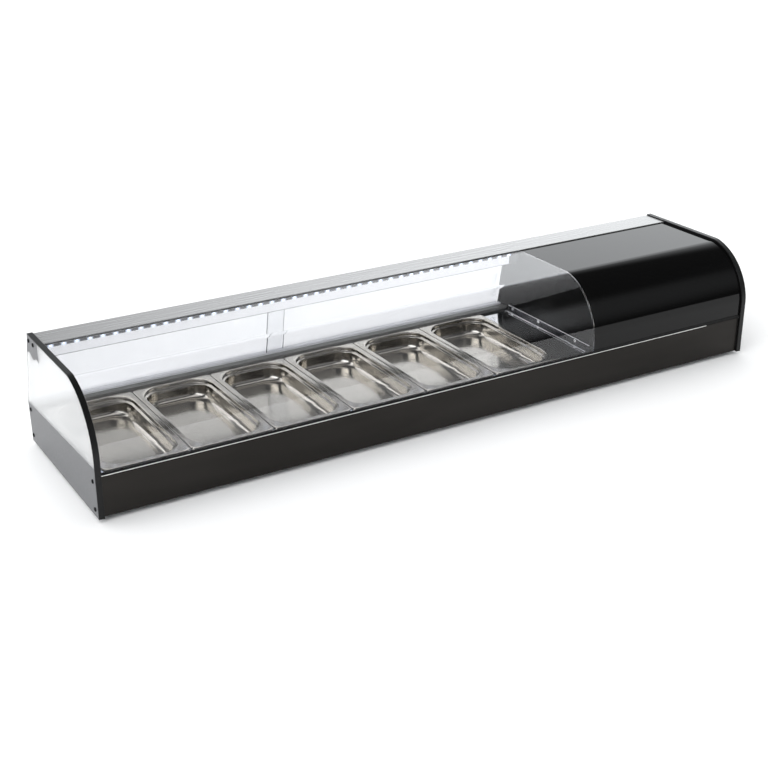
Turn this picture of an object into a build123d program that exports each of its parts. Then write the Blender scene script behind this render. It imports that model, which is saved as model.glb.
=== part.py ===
from build123d import *
import math
import os

# A refrigerated countertop case for six shallow third-size food pans.
# Millimetres. While a piece is drawn, X runs from the left end panel's outer face, Y from the front
# and Z from the counter. The finished pieces are moved so that X and Y are zero at the case's middle.

# End panels and the line that the top and front follow
CASE_TOP = 263.0
END_PANEL_T = 12.0
END_PANEL_Z = 8.0
EDGE_TRIM_T = 2.0
SHOULDER_R = 54.0
SHOULDER_TURN = 14.5
NOSE_R = 141.0
NOSE_TURN = 67.5
CHIN_R = 61.0
BACK_BREAK_OUT = 8.0
BACK_BREAK_UP = 0.5
BACK_FOOT_OUT = 2.0
BACK_TOP_IN = 24.0
SIDE_PLATE_T = 1.5
SIDE_PLATE_FRONT_UP = 15.5
SIDE_PLATE_BACK_DOWN = 1.5

# Base
FOOT_H = 11.0
FOOT_R = 17.0
FOOT_INSET_X = 80.0
FOOT_INSET_Y = 42.0
BASE_SHEET = 1.5
FRONT_SETBACK = 5.0
FRONT_PANEL_TOP = 95.4
FRONT_RETURN = 11.0
FLOOR_UPSTAND = 14.0
REAR_RETURN = 12.0

# Deck and cooled well
DECK_STEP = 3.1
DECK_T = 1.2
DECK_FRONT_GAP = 0.2
DECK_CORNER_R = 20.0
LINER_T = 1.0
LINER_FLANGE = 3.5
UNDER_PAN = 6.0
LINER_MARGIN = 4.0
FOAM_SHORT = 21.5
BAR_W = 14.0
BAR_T = 4.0
PIPE_R = 4.0
COIL_RUNS = 6
COIL_EDGE = 32.5
COIL_LEFT_IN = 34.0
COIL_RIGHT_IN = 32.0

# Food pans
PAN_COUNT = 6
PAN_W = 176.0
PAN_L = 325.0
PAN_DEPTH = 40.0
PAN_GAP = 2.0
PAN_SHEET = 1.0
PAN_RIM_H = 3.5
PAN_RIM_W = 11.5
PAN_RIM_R = 12.0
PAN_MOUTH_R = 46.0
PAN_STEP_Z = 8.0
PAN_STEP_W = 4.5
PAN_TAPER = 3.0
PAN_FLOOR_R = 9.0
FIRST_PAN_X = 21.0
PAN_FRONT_Y = 12.5
DECK_UNDER_RIM = 9.0

# Glazing and the black housing cover
GLASS_T = 5.0
COVER_T = 1.5
GASKET_T = 1.4
GASKET_LIP_H = 2.4
LIP_TRIM_T = 0.8
LIP_TRIM_H = 3.3
LIP_TRIM_SHORT = 117.0
SILL_H = 6.5
PARTITION_GAP = 84.0
PARTITION_T = 4.0
ANGLE_LEG = 12.0
ANGLE_T = 1.5

# Top profile, lamp strip, rear doors and their track
PROFILE_T = 2.0
PROFILE_D = 65.0
PROFILE_RISE = 0.3
PROFILE_WEB_IN = 11.3
PROFILE_BOX_H = 40.0
CHANNEL_H = 20.0
CHANNEL_WALL = 1.6
LED_BOARD_H = 8.0
LED_PITCH = 27.2
LED_SIZE = 4.6
DOOR_T = 4.0
DOOR_LEAN = 10.5
DOOR_TRACK_IN = 15.0
DOOR_STEP = 9.5
DOOR_IN_CHANNEL = 11.0
DOOR_PLAY = 0.5
LEFT_DOOR_W = 564.2
DOOR_OVERLAP = 45.0
RAIL_W = 57.0
RAIL_BASE_T = 2.5
RAIL_RIB_H = 8.5
RAIL_RIB_T = 2.0
RAIL_RIB_STEP = 7.0
PULL_W = 16.0
PULL_H = 60.0
PULL_T = 3.4
PULL_INSET = 24.0

# Compressor bay
BAY_PANEL_T = 1.5
COMPRESSOR_GAP = 8.0
COMPRESSOR_BACK = 171.0
COMPRESSOR_RX = 62.0
COMPRESSOR_RY = 74.0
COMPRESSOR_H = 148.0
GROMMET_H = 22.0
CONDENSER_GAP = 35.0
CONDENSER_END_GAP = 14.5
CONDENSER_W = 200.0
CONDENSER_TOP_GAP = 25.5
CONDENSER_BACK = 98.0
CONDENSER_D = 44.0
FIN_COUNT = 24
FIN_T = 1.2
FAN_R = 70.0
FAN_HUB_R = 20.0
FAN_HUB_H = 22.0
FAN_SHAFT_R = 3.0
FAN_BLADES = 5
FAN_UP = 3.0
MOTOR_R = 28.0
MOTOR_L = 42.0
LINE_R = 3.2
CAPILLARY_R = 1.5
DRIER_R = 10.0
DRIER_L = 110.0

# Controls on the rear panel
CONTROL_IN = 79.0
CONTROL_Z = 58.0
BEZEL_W = 78.0
BEZEL_H = 36.0
BEZEL_T = 3.0
KEY_W = 8.0
KEY_H = 6.0
KEY_TRAVEL = 0.8
SWITCH_GAP = 95.0
SWITCH_STEP = 42.0
ROCKER_W = 10.0
ROCKER_H = 17.0
INLET_IN = 70.0
INLET_Z = 45.0
CORD_HOLE_R = 4.0
DRAIN_IN = 16.0

# Fits
CLOSE = 0.3
RUNNING = 0.05
SCREW_R = 2.0
SCREW_HEAD_R = 4.4
SCREW_HEAD_H = 1.8
SCREW_HOLE_R = 2.2
SCREW_INSET = 16.0

# Smaller sizes that only one group of pieces uses
DRAIN_TUBE_R = 10.0
DRAIN_END_Z = 4.0
BODY_CLEAR = 0.2
PIPE_END = 9.0
VENT_ROWS = 5
VENT_STEP = 13.0
VENT_W = 120.0
VENT_H = 5.0
BASE_VENT_IN = 83.0
BASE_VENT_Z = 24.0
BAY_VENT_STEP = 170.0
BAY_VENT_ROWS = 6
BAY_VENT_Z = 124.0
LED_LAMP_T = 1.6
LED_FIRST_X = 30.0
RAIL_RIBS = 3
PULL_SCOOP_R = 14.0
ANGLE_Y0 = 20.0
ANGLE_SHORT = 7.5
ANGLE_SCREW_FRONT = 50.0
ANGLE_SCREW_MIDDLE = 189.0
ANGLE_SCREW_BACK = 18.0
LED_END_GAP = 20.0
ANGLE_HEAD_R = 3.6
COMPRESSOR_LOW_R = 22.0
COMPRESSOR_DOME_R = 34.0
COMPRESSOR_BASE_T = 3.0
SEAM_W = 4.0
FIN_PLATE_T = 3.0
SHROUD_T = 2.0
SHROUD_COLLAR = 14.0
FAN_CLEAR = 5.0
BLADE_T = 1.8
SHAFT_IN = 26.0
DRIER_LEFT_OUT = 20.0
DRIER_Y = 62.0
PROBE_R = 2.4
PROBE_L = 40.0
PROBE_IN = 55.0
PROBE_DEEP = 18.5
CONTROL_BODY_W = 70.0
CONTROL_BODY_H = 28.0
WINDOW_T = 1.2
SWITCH_BODY_W = 15.0
SWITCH_BODY_H = 24.0
ROCKER_PIN_R = 1.2
ROCKER_PIN_L = 1.5
ROCKER_CLEAR = 1.4
ROCKER_WELL = 7.0
SWITCH_FRAME = 2.0
INLET_NECK_R = 8.0
INLET_FLANGE_R = 11.0
INLET_FLANGE_T = 3.0
INLET_NOSE_L = 6.5
INLET_TAIL_L = 6.0
INLET_BARB = 1.0
FOOT_CHAMFER = 2.5
DRAIN_WALL = 2.0
DRAIN_FLANGE_W = 6.0
DRAIN_FLANGE_T = 1.5
DRAIN_CAP_T = 1.8
DRAIN_CAP_WALL = 3.0
KEY_STEP_X = 11.0
KEY_STEP_Z = 12.0
KEYS_INSET = 14.0
KEY_CORNER_R = 1.2
BEZEL_CORNER_R = 5.0
WINDOW_W = 40.0
WINDOW_H = 20.0
WINDOW_SHIFT = 11.0
CONTROL_BODY_D = 58.0
SWITCH_BODY_D = 26.0
ROCKER_PIN_IN = 1.5
ROCKER_BACK = 3.4
ROCKER_LOW = 1.0
ROCKER_MID = 2.2
ROCKER_HIGH = 4.6
LINE_BEND_R = 9.0
CAPILLARY_BEND_R = 14.0
RISE_GAP = 25.0
OVER_GAP = 10.0
DROP_GAP = 14.0
DRIER_NECK_L = 10.0
DRIER_CONE_L = 12.0
DRIER_NECK_T = 0.6
SADDLE_W = 18.0
SADDLE_D = 16.0
BRACKET_T = 2.0
BRACKET_W = 40.0
BRACKET_FOOT_L = 40.0
MOTOR_EDGE_R = 3.0
MOTOR_BOSS_L = 4.0
HUB_EDGE_R = 4.0
ROOT_CHORD = 24.0
MIDDLE_CHORD = 38.0
TIP_CHORD = 44.0
ROOT_PITCH = 42.0
MIDDLE_PITCH = 32.0
TIP_PITCH = 24.0
BLADE_SUNK = 1.8
BOSS_R = 9.0
BRACKET_UP = 22.0
CAPILLARY_RUN = 35.0
CAPILLARY_OUT = 28.0
KEY_SEAT = 0.1
FIN_PLATE_OVER = 14.0
FIN_END = 10.0
FIN_INSET = 4.0
STUB_L = 4.0
STUB_WALL = 1.0
GROMMET_NECK_R = 8.0
GROMMET_R = 11.0
GROMMET_LIP = 8.0
GROMMET_INSET = 16.0
BASE_PLATE_WING = 30.0
BASE_PLATE_R = 12.0
COMPRESSOR_STUB_L = 16.0
COMPRESSOR_STUB_H = 88.0
SUCTION_STEP = 26.0
DISCHARGE_STEP = 20.0
CONDENSER_IN_H = 150.0
CONDENSER_OUT_H = 32.0
FAN_TO_CONDENSER = 19.0
MOTOR_GAP = 18.0
LED_BOARD_T = 1.6
ANGLE_SCREW_H = 7.0
RAIL_GAP = 1.5
DECK_PAST_WALL = 1.0
SLOT_LENGTH = 5.2
SLOT_WIDTH = 1.2
SCREW_SHORT = 0.5
PROBE_CLIP_W = 8.0
PROBE_CLIP_H = 10.0

# Places that follow from the sizes above
LEAN = math.tan(math.radians(DOOR_LEAN))
TURN_1 = math.radians(SHOULDER_TURN)
TURN_2 = math.radians(SHOULDER_TURN + NOSE_TURN)
NOSE_Y = (
    SHOULDER_R * math.sin(TURN_1)
    + NOSE_R * (math.sin(TURN_2) - math.sin(TURN_1))
    + CHIN_R * (1 - math.sin(TURN_2))
)
BODY_X0 = END_PANEL_T + SIDE_PLATE_T
FLOOR_Z = FOOT_H
FLOOR_TOP = FLOOR_Z + BASE_SHEET
PANEL_IN_Y = FRONT_SETBACK + BASE_SHEET
GLASS_IN_Y = FRONT_SETBACK + GLASS_T
GASKET_Z = FRONT_PANEL_TOP + LIP_TRIM_T
GLASS_FOOT_Z = GASKET_Z + GASKET_T + CLOSE
GASKET_BACK_Y = GLASS_IN_Y + GASKET_T
DECK_FRONT_Y = GASKET_BACK_Y + DECK_FRONT_GAP
DECK_TOP = FRONT_PANEL_TOP + DECK_STEP
DECK_UNDER = DECK_TOP - DECK_T
BACK_BREAK_Z = DECK_TOP + BACK_BREAK_UP
SIDE_PLATE_FRONT_Z = DECK_TOP + SIDE_PLATE_FRONT_UP
SIDE_PLATE_BACK_Z = DECK_TOP - SIDE_PLATE_BACK_DOWN

# The pans, the well under them and the bay beside them, from left to right
PITCH = PAN_W + PAN_GAP
PAN_MID_Y = PAN_FRONT_Y + PAN_L / 2
PAN_BACK_Y = PAN_FRONT_Y + PAN_L
PAN_TOP = DECK_TOP + PAN_RIM_H
PANS_END_X = FIRST_PAN_X + PAN_COUNT * PITCH - PAN_GAP
HOLE_X0 = FIRST_PAN_X + DECK_UNDER_RIM
HOLE_X1 = PANS_END_X - DECK_UNDER_RIM
HOLE_Y0 = PAN_FRONT_Y + DECK_UNDER_RIM
HOLE_Y1 = PAN_BACK_Y - DECK_UNDER_RIM
LINER_FLOOR_Z = PAN_TOP - PAN_DEPTH - UNDER_PAN
LINER_X0 = HOLE_X0 - LINER_MARGIN
LINER_X1 = HOLE_X1 + LINER_MARGIN
LINER_Y0 = HOLE_Y0 - LINER_MARGIN
LINER_Y1 = HOLE_Y1 + LINER_MARGIN
LINER_UNDER = LINER_FLOOR_Z - LINER_T
COIL_Z = LINER_UNDER - PIPE_R - CLOSE / 2
COIL_FIRST_Y = LINER_Y0 + COIL_EDGE
COIL_LAST_Y = LINER_Y1 - COIL_EDGE
COIL_PITCH = (COIL_LAST_Y - COIL_FIRST_Y) / (COIL_RUNS - 1)
COIL_LEFT_X = LINER_X0 + COIL_LEFT_IN
COIL_RIGHT_X = LINER_X1 - COIL_RIGHT_IN
DRAIN_X = LINER_X1 - DRAIN_IN
DRAIN_Y = PAN_MID_Y + CLOSE * 10
PROBE_Y = PAN_MID_Y + PROBE_IN
PROBE_Z = DECK_TOP - PROBE_DEEP
PARTITION_X = PANS_END_X + PARTITION_GAP
FOAM_END_X = PARTITION_X - FOAM_SHORT
BULKHEAD_X1 = FOAM_END_X + BASE_SHEET
DECK_END_X = PARTITION_X + PARTITION_T + DECK_PAST_WALL
GLASS_X1 = PARTITION_X + PARTITION_T / 2
COMPRESSOR_X = PARTITION_X + PARTITION_T + COMPRESSOR_GAP + BASE_PLATE_WING + COMPRESSOR_RX
CONDENSER_X = COMPRESSOR_X + COMPRESSOR_RX + BASE_PLATE_WING + CONDENSER_GAP
BODY_X1 = CONDENSER_X + CONDENSER_W + CONDENSER_END_GAP
LENGTH = BODY_X1 + BODY_X0
COVER_X1 = LENGTH - END_PANEL_T - CLOSE
LIP_TRIM_END_X = LENGTH - LIP_TRIM_SHORT
LED_COUNT = 1 + int((PARTITION_X - LED_END_GAP - LED_FIRST_X) / LED_PITCH)

# The rail and the doors behind the pans, and the depth that they give
RAIL_FRONT_Y = PAN_BACK_Y + RAIL_GAP
REAR_PANEL_Y = RAIL_FRONT_Y + RAIL_W
DEPTH = REAR_PANEL_Y + BACK_BREAK_OUT
BACK_FOOT_Y = REAR_PANEL_Y + BACK_FOOT_OUT
DOOR_TRACK_Y = REAR_PANEL_Y - DOOR_TRACK_IN
BACK_TOP_Y = DOOR_TRACK_Y - BACK_TOP_IN
RAIL_TOP = DECK_TOP + RAIL_RIB_H
RAIL_FLOOR = DECK_TOP + RAIL_BASE_T
DOOR_FOOT = RAIL_FLOOR + CLOSE
DOOR_SPAN_Y = DOOR_T / math.cos(math.radians(DOOR_LEAN))
LEFT_DOOR_END_X = BODY_X0 + CLOSE + LEFT_DOOR_W
RIGHT_DOOR_START_X = LEFT_DOOR_END_X - DOOR_OVERLAP
ANGLE_Y1 = PAN_BACK_Y - ANGLE_SHORT
ANGLE_SCREW_YS = (
    ANGLE_Y0 + ANGLE_SCREW_FRONT,
    ANGLE_Y0 + ANGLE_SCREW_MIDDLE,
    ANGLE_Y1 - ANGLE_SCREW_BACK,
)
ANGLE_SCREW_Z = DECK_TOP + ANGLE_SCREW_H

# The top profile, which hangs from the case's top line
GLASS_OUT_Z = CASE_TOP - FRONT_SETBACK
PROFILE_UNDER = GLASS_OUT_Z + PROFILE_RISE
PROFILE_TOP = PROFILE_UNDER + PROFILE_T
PROFILE_BOX_Z = CASE_TOP - PROFILE_BOX_H
CHANNEL_Z = PROFILE_BOX_Z - CHANNEL_H
DOOR_TOP = CHANNEL_Z + DOOR_IN_CHANNEL
PROFILE_FRONT_Y = BACK_TOP_Y - PROFILE_D
PROFILE_WEB_Y = PROFILE_FRONT_Y + PROFILE_WEB_IN
SLOT_BACK_Y = PROFILE_WEB_Y - CLOSE
LEDGE_TOP = GLASS_OUT_Z - GLASS_T - CLOSE
LED_BOARD_Y = PROFILE_WEB_Y - LED_BOARD_T

# The compressor bay and the controls
COMPRESSOR_Z0 = FLOOR_TOP + GROMMET_H + COMPRESSOR_BASE_T
COMPRESSOR_Y = REAR_PANEL_Y - COMPRESSOR_BACK
STUB_X = COMPRESSOR_X - COMPRESSOR_RX - COMPRESSOR_STUB_L
STUB_Z = COMPRESSOR_Z0 + COMPRESSOR_STUB_H
SUCTION_Y = COMPRESSOR_Y + SUCTION_STEP
DISCHARGE_Y = COMPRESSOR_Y - DISCHARGE_STEP
CONDENSER_Y = REAR_PANEL_Y - CONDENSER_BACK
CONDENSER_H = PROFILE_BOX_Z - FLOOR_TOP - CONDENSER_TOP_GAP
CONDENSER_IN_Z = FLOOR_TOP + CONDENSER_IN_H
CONDENSER_OUT_Z = FLOOR_TOP + CONDENSER_OUT_H
FAN_X = CONDENSER_X + CONDENSER_W / 2
FAN_Y = CONDENSER_Y - FAN_TO_CONDENSER
FAN_Z = FLOOR_TOP + CONDENSER_H / 2 + FAN_UP
MOTOR_Y = FAN_Y - FAN_HUB_H / 2 - MOTOR_L - MOTOR_GAP
DRIER_X0 = COMPRESSOR_X - DRIER_LEFT_OUT
DRIER_Z = CONDENSER_OUT_Z
CONTROL_X = PARTITION_X + CONTROL_IN
CONTROL_FACE_Y = REAR_PANEL_Y + BEZEL_T
CONTROL_BODY_Y = REAR_PANEL_Y - CONTROL_BODY_D
SWITCH_X = CONTROL_X + SWITCH_GAP
SWITCH_BODY_Y = REAR_PANEL_Y - SWITCH_BODY_D
ROCKER_PIN_Y = REAR_PANEL_Y - ROCKER_PIN_IN
INLET_X = LENGTH - INLET_IN
BASE_VENT_X = CONDENSER_X + BASE_VENT_IN
BAY_MID_X = (DECK_END_X + BODY_X1) / 2
BAY_VENT_XS = (BAY_MID_X - BAY_VENT_STEP / 2, BAY_MID_X + BAY_VENT_STEP / 2)


def yz_block(x0, x1, face):
    """Carry a face drawn in the Y-Z plane along X."""
    return extrude(Plane.YZ.offset(x0) * face, amount=x1 - x0, dir=(1, 0, 0))


def rect(y0, y1, z0, z1):
    """A rectangle in the Y-Z plane."""
    return Pos((y0 + y1) / 2, (z0 + z1) / 2) * Rectangle(y1 - y0, z1 - z0)


def polygon(*points):
    """A closed face through Y-Z points."""
    return make_face(Polyline(*points, close=True))


def block(x0, x1, y0, y1, z0, z1):
    """A plain box between two corners."""
    size = Box(x1 - x0, y1 - y0, z1 - z0)
    return Pos((x0 + x1) / 2, (y0 + y1) / 2, (z0 + z1) / 2) * size


def rod_x(radius, x0, x1, y, z):
    """A round bar along X."""
    return Pos((x0 + x1) / 2, y, z) * Rot(0, 90, 0) * Cylinder(radius, x1 - x0)


def rod_y(radius, y0, y1, x, z):
    """A round bar along Y."""
    return Pos(x, (y0 + y1) / 2, z) * Rot(90, 0, 0) * Cylinder(radius, y1 - y0)


def rod_z(radius, z0, z1, x, y):
    """An upright round bar."""
    return Pos(x, y, (z0 + z1) / 2) * Cylinder(radius, z1 - z0)


def joined(first, *others):
    """One solid from pieces that touch or overlap."""
    for other in others:
        first = first + other
    return first


def nose_line(inset, back_y, foot_z):
    """The case's top and front line, moved inwards by inset: flat top, three arcs, upright front."""
    start = (NOSE_Y, CASE_TOP - inset)
    shoulder = JernArc(start, (-1, 0), SHOULDER_R - inset, SHOULDER_TURN)
    nose = JernArc(shoulder @ 1, shoulder % 1, NOSE_R - inset, NOSE_TURN)
    chin = JernArc(nose @ 1, nose % 1, CHIN_R - inset, 90 - SHOULDER_TURN - NOSE_TURN)
    foot = chin @ 1
    return [
        Line((back_y, CASE_TOP - inset), start),
        shoulder,
        nose,
        chin,
        Line(foot, (foot.X, foot_z)),
    ]


def nose_face(inset, back_y, foot_z, *corners):
    """The area under the nose line, closed through the corner points from its foot to its back."""
    points = [(inset, foot_z), *corners, (back_y, CASE_TOP - inset)]
    return make_face([*nose_line(inset, back_y, foot_z), Polyline(*points)])


def nose_band(inset, thickness, back_y, foot_z):
    """A sheet that follows the nose line, with its outer face at inset."""
    inner = inset + thickness
    ends = [
        Line((inset, foot_z), (inner, foot_z)),
        Line((back_y, CASE_TOP - inset), (back_y, CASE_TOP - inner)),
    ]
    lines = nose_line(inset, back_y, foot_z) + nose_line(inner, back_y, foot_z)
    return make_face(lines + ends)


def door_y(z, track):
    """The middle of a door's sheet at height z. Track 0 is the rear one, track 1 the front one."""
    return DOOR_TRACK_Y - (z - DECK_TOP) * LEAN - track * DOOR_STEP


def leaning(y_at, thickness, z0, z1):
    """A strip that leans with the doors, its middle given by y_at."""
    half = thickness / 2
    low, high = y_at(z0), y_at(z1)
    return polygon((low - half, z0), (low + half, z0), (high + half, z1), (high - half, z1))


def side_screw_places():
    """Y and Z of the screws in an end panel: two at the profile, two front and two rear in the base."""
    high, low = BACK_BREAK_Z - SCREW_INSET, END_PANEL_Z + SCREW_INSET
    rear = REAR_PANEL_Y - SCREW_INSET / 2
    half = SCREW_INSET / 2 + PROFILE_T
    profile_z = PROFILE_TOP - half
    profile = [(BACK_TOP_Y - half, profile_z), (PROFILE_WEB_Y + SCREW_INSET, profile_z)]
    base = [(rear, high), (rear, low), (SCREW_INSET, high), (SCREW_INSET, low)]
    return profile + base


def screw_holes(x0, x1):
    """The clearance holes of the end panel screws."""
    return [rod_x(SCREW_HOLE_R, x0 - 1, x1 + 1, y, z) for y, z in side_screw_places()]


def end_panel(x0):
    """A clear or black end panel, under its edge trim."""
    outline = nose_face(
        EDGE_TRIM_T, BACK_TOP_Y, END_PANEL_Z, (BACK_FOOT_Y, END_PANEL_Z), (DEPTH, BACK_BREAK_Z)
    )
    panel = yz_block(x0, x0 + END_PANEL_T, outline)
    for hole in screw_holes(x0, x0 + END_PANEL_T):
        panel -= hole
    return panel


def edge_trim(x0):
    """The black strip over an end panel's top and front edge."""
    return yz_block(x0, x0 + END_PANEL_T, nose_band(0, EDGE_TRIM_T, BACK_TOP_Y, END_PANEL_Z))


def side_plate(x0):
    """The metal plate behind the lower part of an end panel."""
    front = FRONT_SETBACK + 1
    face = polygon(
        (front, FLOOR_Z),
        (BACK_FOOT_Y - 2, FLOOR_Z),
        (REAR_PANEL_Y, SIDE_PLATE_BACK_Z),
        (GASKET_BACK_Y + CLOSE, SIDE_PLATE_FRONT_Z),
        (GASKET_BACK_Y + CLOSE, FRONT_PANEL_TOP),
        (front, FRONT_PANEL_TOP),
    )
    plate = yz_block(x0, x0 + SIDE_PLATE_T, face)
    for hole in screw_holes(x0, x0 + SIDE_PLATE_T):
        plate -= hole
    return plate


def side_screws():
    """Round-head slotted screws through both end panels."""
    screws = []
    for y, z in side_screw_places():
        head = rod_x(SCREW_HEAD_R, -SCREW_HEAD_H, 0, y, z)
        head = chamfer(head.edges().group_by(Axis.X)[0], SCREW_HEAD_H / 2)
        shank = rod_x(SCREW_R, 0, END_PANEL_T - SCREW_SHORT, y, z)
        half_l, half_w = SLOT_LENGTH / 2, SLOT_WIDTH / 2
        slot = block(-SCREW_HEAD_H, -SCREW_HEAD_H / 2, y - half_l, y + half_l, z - half_w, z + half_w)
        screw = head + shank - slot
        screws += [screw, mirror(screw, about=Plane.YZ.offset(LENGTH / 2))]
    return screws


def base_floor():
    """The folded floor tray, with the drain hole."""
    y0, y1 = PANEL_IN_Y, REAR_PANEL_Y - BASE_SHEET
    up = FLOOR_TOP + FLOOR_UPSTAND
    tray = joined(
        block(BODY_X0, BODY_X1, y0, y1, FLOOR_Z, FLOOR_TOP),
        block(BODY_X0, BODY_X1, y0, y0 + BASE_SHEET, FLOOR_TOP, up),
        block(BODY_X0, BODY_X1, y1 - BASE_SHEET, y1, FLOOR_TOP, up),
    )
    return tray - rod_z(DRAIN_TUBE_R + CLOSE, 0, LINER_FLOOR_Z, DRAIN_X, DRAIN_Y)


def front_base_panel():
    """The black front panel, folded back along its top and bottom."""
    y0, y1 = FRONT_SETBACK, PANEL_IN_Y
    bottom, top = FLOOR_Z - BASE_SHEET, FRONT_PANEL_TOP
    face = joined(
        rect(y0, y1, bottom, top),
        rect(y1, y1 + FRONT_RETURN, bottom, FLOOR_Z),
        rect(y1, GASKET_BACK_Y, top - BASE_SHEET, top),
    )
    panel = yz_block(BODY_X0, BODY_X1, face)
    folds = panel.edges().filter_by(Axis.X).group_by(Axis.Y)[0]
    return fillet(folds, BASE_SHEET * 0.8)


def vent_slot(width, height, depth):
    """A round-ended slot, cut through a sheet that faces Y."""
    slot = Plane.XZ * SlotOverall(width, height)
    return extrude(slot, amount=depth / 2, both=True)


def rear_base_panel():
    """The rear panel of the base, with its cut-outs and the vents of the compressor bay."""
    y0, y1 = REAR_PANEL_Y - BASE_SHEET, REAR_PANEL_Y
    top = DECK_UNDER
    panel = block(BODY_X0, BODY_X1, y0, y1, FLOOR_Z, top)
    panel += block(BODY_X0, BODY_X1, y0 - REAR_RETURN, y0, top - BASE_SHEET, top)
    panel -= block(*control_span(BODY_CLEAR), y0 - 1, y1 + 1, *control_rise(BODY_CLEAR))
    for x in switch_places():
        w, h = SWITCH_BODY_W / 2 + CLOSE / 2, SWITCH_BODY_H / 2 + CLOSE / 2
        panel -= block(x - w, x + w, y0 - 1, y1 + 1, CONTROL_Z - h, CONTROL_Z + h)
    panel -= rod_y(INLET_NECK_R + CLOSE / 2, y0 - 1, y1 + 1, INLET_X, INLET_Z)
    for row in range(VENT_ROWS):
        place = (BASE_VENT_X, REAR_PANEL_Y, BASE_VENT_Z + row * VENT_STEP)
        panel -= Pos(*place) * vent_slot(VENT_W, VENT_H, 6 * BASE_SHEET)
    return panel


def deck_frame():
    """The flat stainless deck, open over the well, which runs on as far as the partition."""
    sheet = block(BODY_X0, DECK_END_X, DECK_FRONT_Y, REAR_PANEL_Y, DECK_UNDER, DECK_TOP)
    hole = RectangleRounded(HOLE_X1 - HOLE_X0, HOLE_Y1 - HOLE_Y0, DECK_CORNER_R)
    middle = Pos((HOLE_X0 + HOLE_X1) / 2, (HOLE_Y0 + HOLE_Y1) / 2, DECK_UNDER - 1)
    return sheet - middle * extrude(hole, amount=DECK_T + 2)


def well_liner():
    """The pressed tub of the cooled well, hung under the deck by its flange."""
    t = LINER_T
    outer = block(
        LINER_X0 - t, LINER_X1 + t, LINER_Y0 - t, LINER_Y1 + t, LINER_UNDER, DECK_UNDER
    )
    outer = fillet(outer.edges().filter_by(Axis.Z), DECK_CORNER_R / 2 + t)
    w = LINER_FLANGE + t
    flange = block(
        LINER_X0 - w, LINER_X1 + w, LINER_Y0 - w, LINER_Y1 + w, DECK_UNDER - t, DECK_UNDER
    )
    inner = block(LINER_X0, LINER_X1, LINER_Y0, LINER_Y1, LINER_FLOOR_Z, DECK_TOP)
    inner = fillet(inner.edges().filter_by(Axis.Z), DECK_CORNER_R / 2)
    return outer + flange - inner - rod_z(DRAIN_TUBE_R, 0, DECK_TOP, DRAIN_X, DRAIN_Y)


def well_insulation():
    """The foam round the tub, with the bed of the cooling coil and the way out of its pipes."""
    y1 = REAR_PANEL_Y - BASE_SHEET - REAR_RETURN
    top = DECK_UNDER - LINER_T - CLOSE
    foam = block(BODY_X0 + 1, FOAM_END_X, PANEL_IN_Y + BASE_SHEET, y1, FLOOR_TOP, top)
    notch_z = FRONT_PANEL_TOP - BASE_SHEET - CLOSE
    foam -= block(0, LENGTH, 0, GASKET_BACK_Y + CLOSE, notch_z, DECK_TOP)
    t = LINER_T
    foam -= block(
        LINER_X0 - t, LINER_X1 + t, LINER_Y0 - t, LINER_Y1 + t, LINER_UNDER, DECK_TOP
    )
    bed = COIL_Z - PIPE_R - CLOSE
    foam -= block(LINER_X0, LINER_X1, LINER_Y0, LINER_Y1, bed, DECK_TOP)
    for y in (COIL_FIRST_Y, COIL_LAST_Y):
        foam -= block(LINER_X1, FOAM_END_X + 1, y - PIPE_R, y + PIPE_R, bed, LINER_UNDER)
    return foam - rod_z(DRAIN_TUBE_R + CLOSE, 0, DECK_TOP, DRAIN_X, DRAIN_Y)


def divider_bars():
    """The bars that carry the rims where two pans meet, let in under the deck at both ends."""
    bars = []
    under = DECK_TOP - BAR_T
    for number in range(1, PAN_COUNT):
        x = FIRST_PAN_X - PAN_GAP / 2 + number * PITCH
        x0, x1 = x - BAR_W / 2, x + BAR_W / 2
        bar = block(x0, x1, HOLE_Y0, HOLE_Y1, under, DECK_TOP)
        tongue = block(x0, x1, LINER_Y0 + CLOSE, LINER_Y1 - CLOSE, under, DECK_UNDER)
        bars.append(bar + tongue)
    return bars


def coil_path():
    """The cooling coil's line: level runs along X, joined by half turns."""
    z, step, end_x = COIL_Z, COIL_PITCH, BULKHEAD_X1 + PIPE_END
    points = [(end_x, COIL_FIRST_Y, z)]
    for run in range(COIL_RUNS):
        y = COIL_FIRST_Y + run * step
        turn_x = COIL_LEFT_X if run % 2 == 0 else COIL_RIGHT_X
        points.append((turn_x, y, z))
        points.append((turn_x, y + step, z))
    points[-2:] = [(end_x, COIL_LAST_Y, z)]
    return FilletPolyline(*points, radius=step / 2 - 0.5)


def tube(path, radius):
    """A round pipe along a path."""
    return sweep(Plane(origin=path @ 0, z_dir=path % 0) * Circle(radius), path=path)


def bay_bulkhead():
    """The sheet that closes the foam's end, with a hole for each pipe."""
    y1 = REAR_PANEL_Y - BASE_SHEET - REAR_RETURN
    notch_z = FRONT_PANEL_TOP - BASE_SHEET - CLOSE
    y0 = PANEL_IN_Y + BASE_SHEET
    sheet = block(FOAM_END_X, BULKHEAD_X1, y0, y1, FLOOR_TOP, DECK_UNDER)
    sheet -= block(0, LENGTH, 0, GASKET_BACK_Y + CLOSE, notch_z, DECK_TOP)
    for y in (COIL_FIRST_Y, COIL_LAST_Y):
        sheet -= rod_x(PIPE_R + CLOSE, FOAM_END_X - 1, BULKHEAD_X1 + 1, y, COIL_Z)
    return sheet


def pan_level(inset, z, wall=0.0):
    """One rounded outline of a pan's body, inset from its mouth and grown by a wall."""
    grow = 2 * (wall - inset)
    width = PAN_W - 2 * PAN_RIM_W + grow
    length = PAN_L - 2 * PAN_RIM_W + grow
    return Pos(0, 0, z) * RectangleRounded(width, length, PAN_MOUTH_R - inset + wall)


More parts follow.
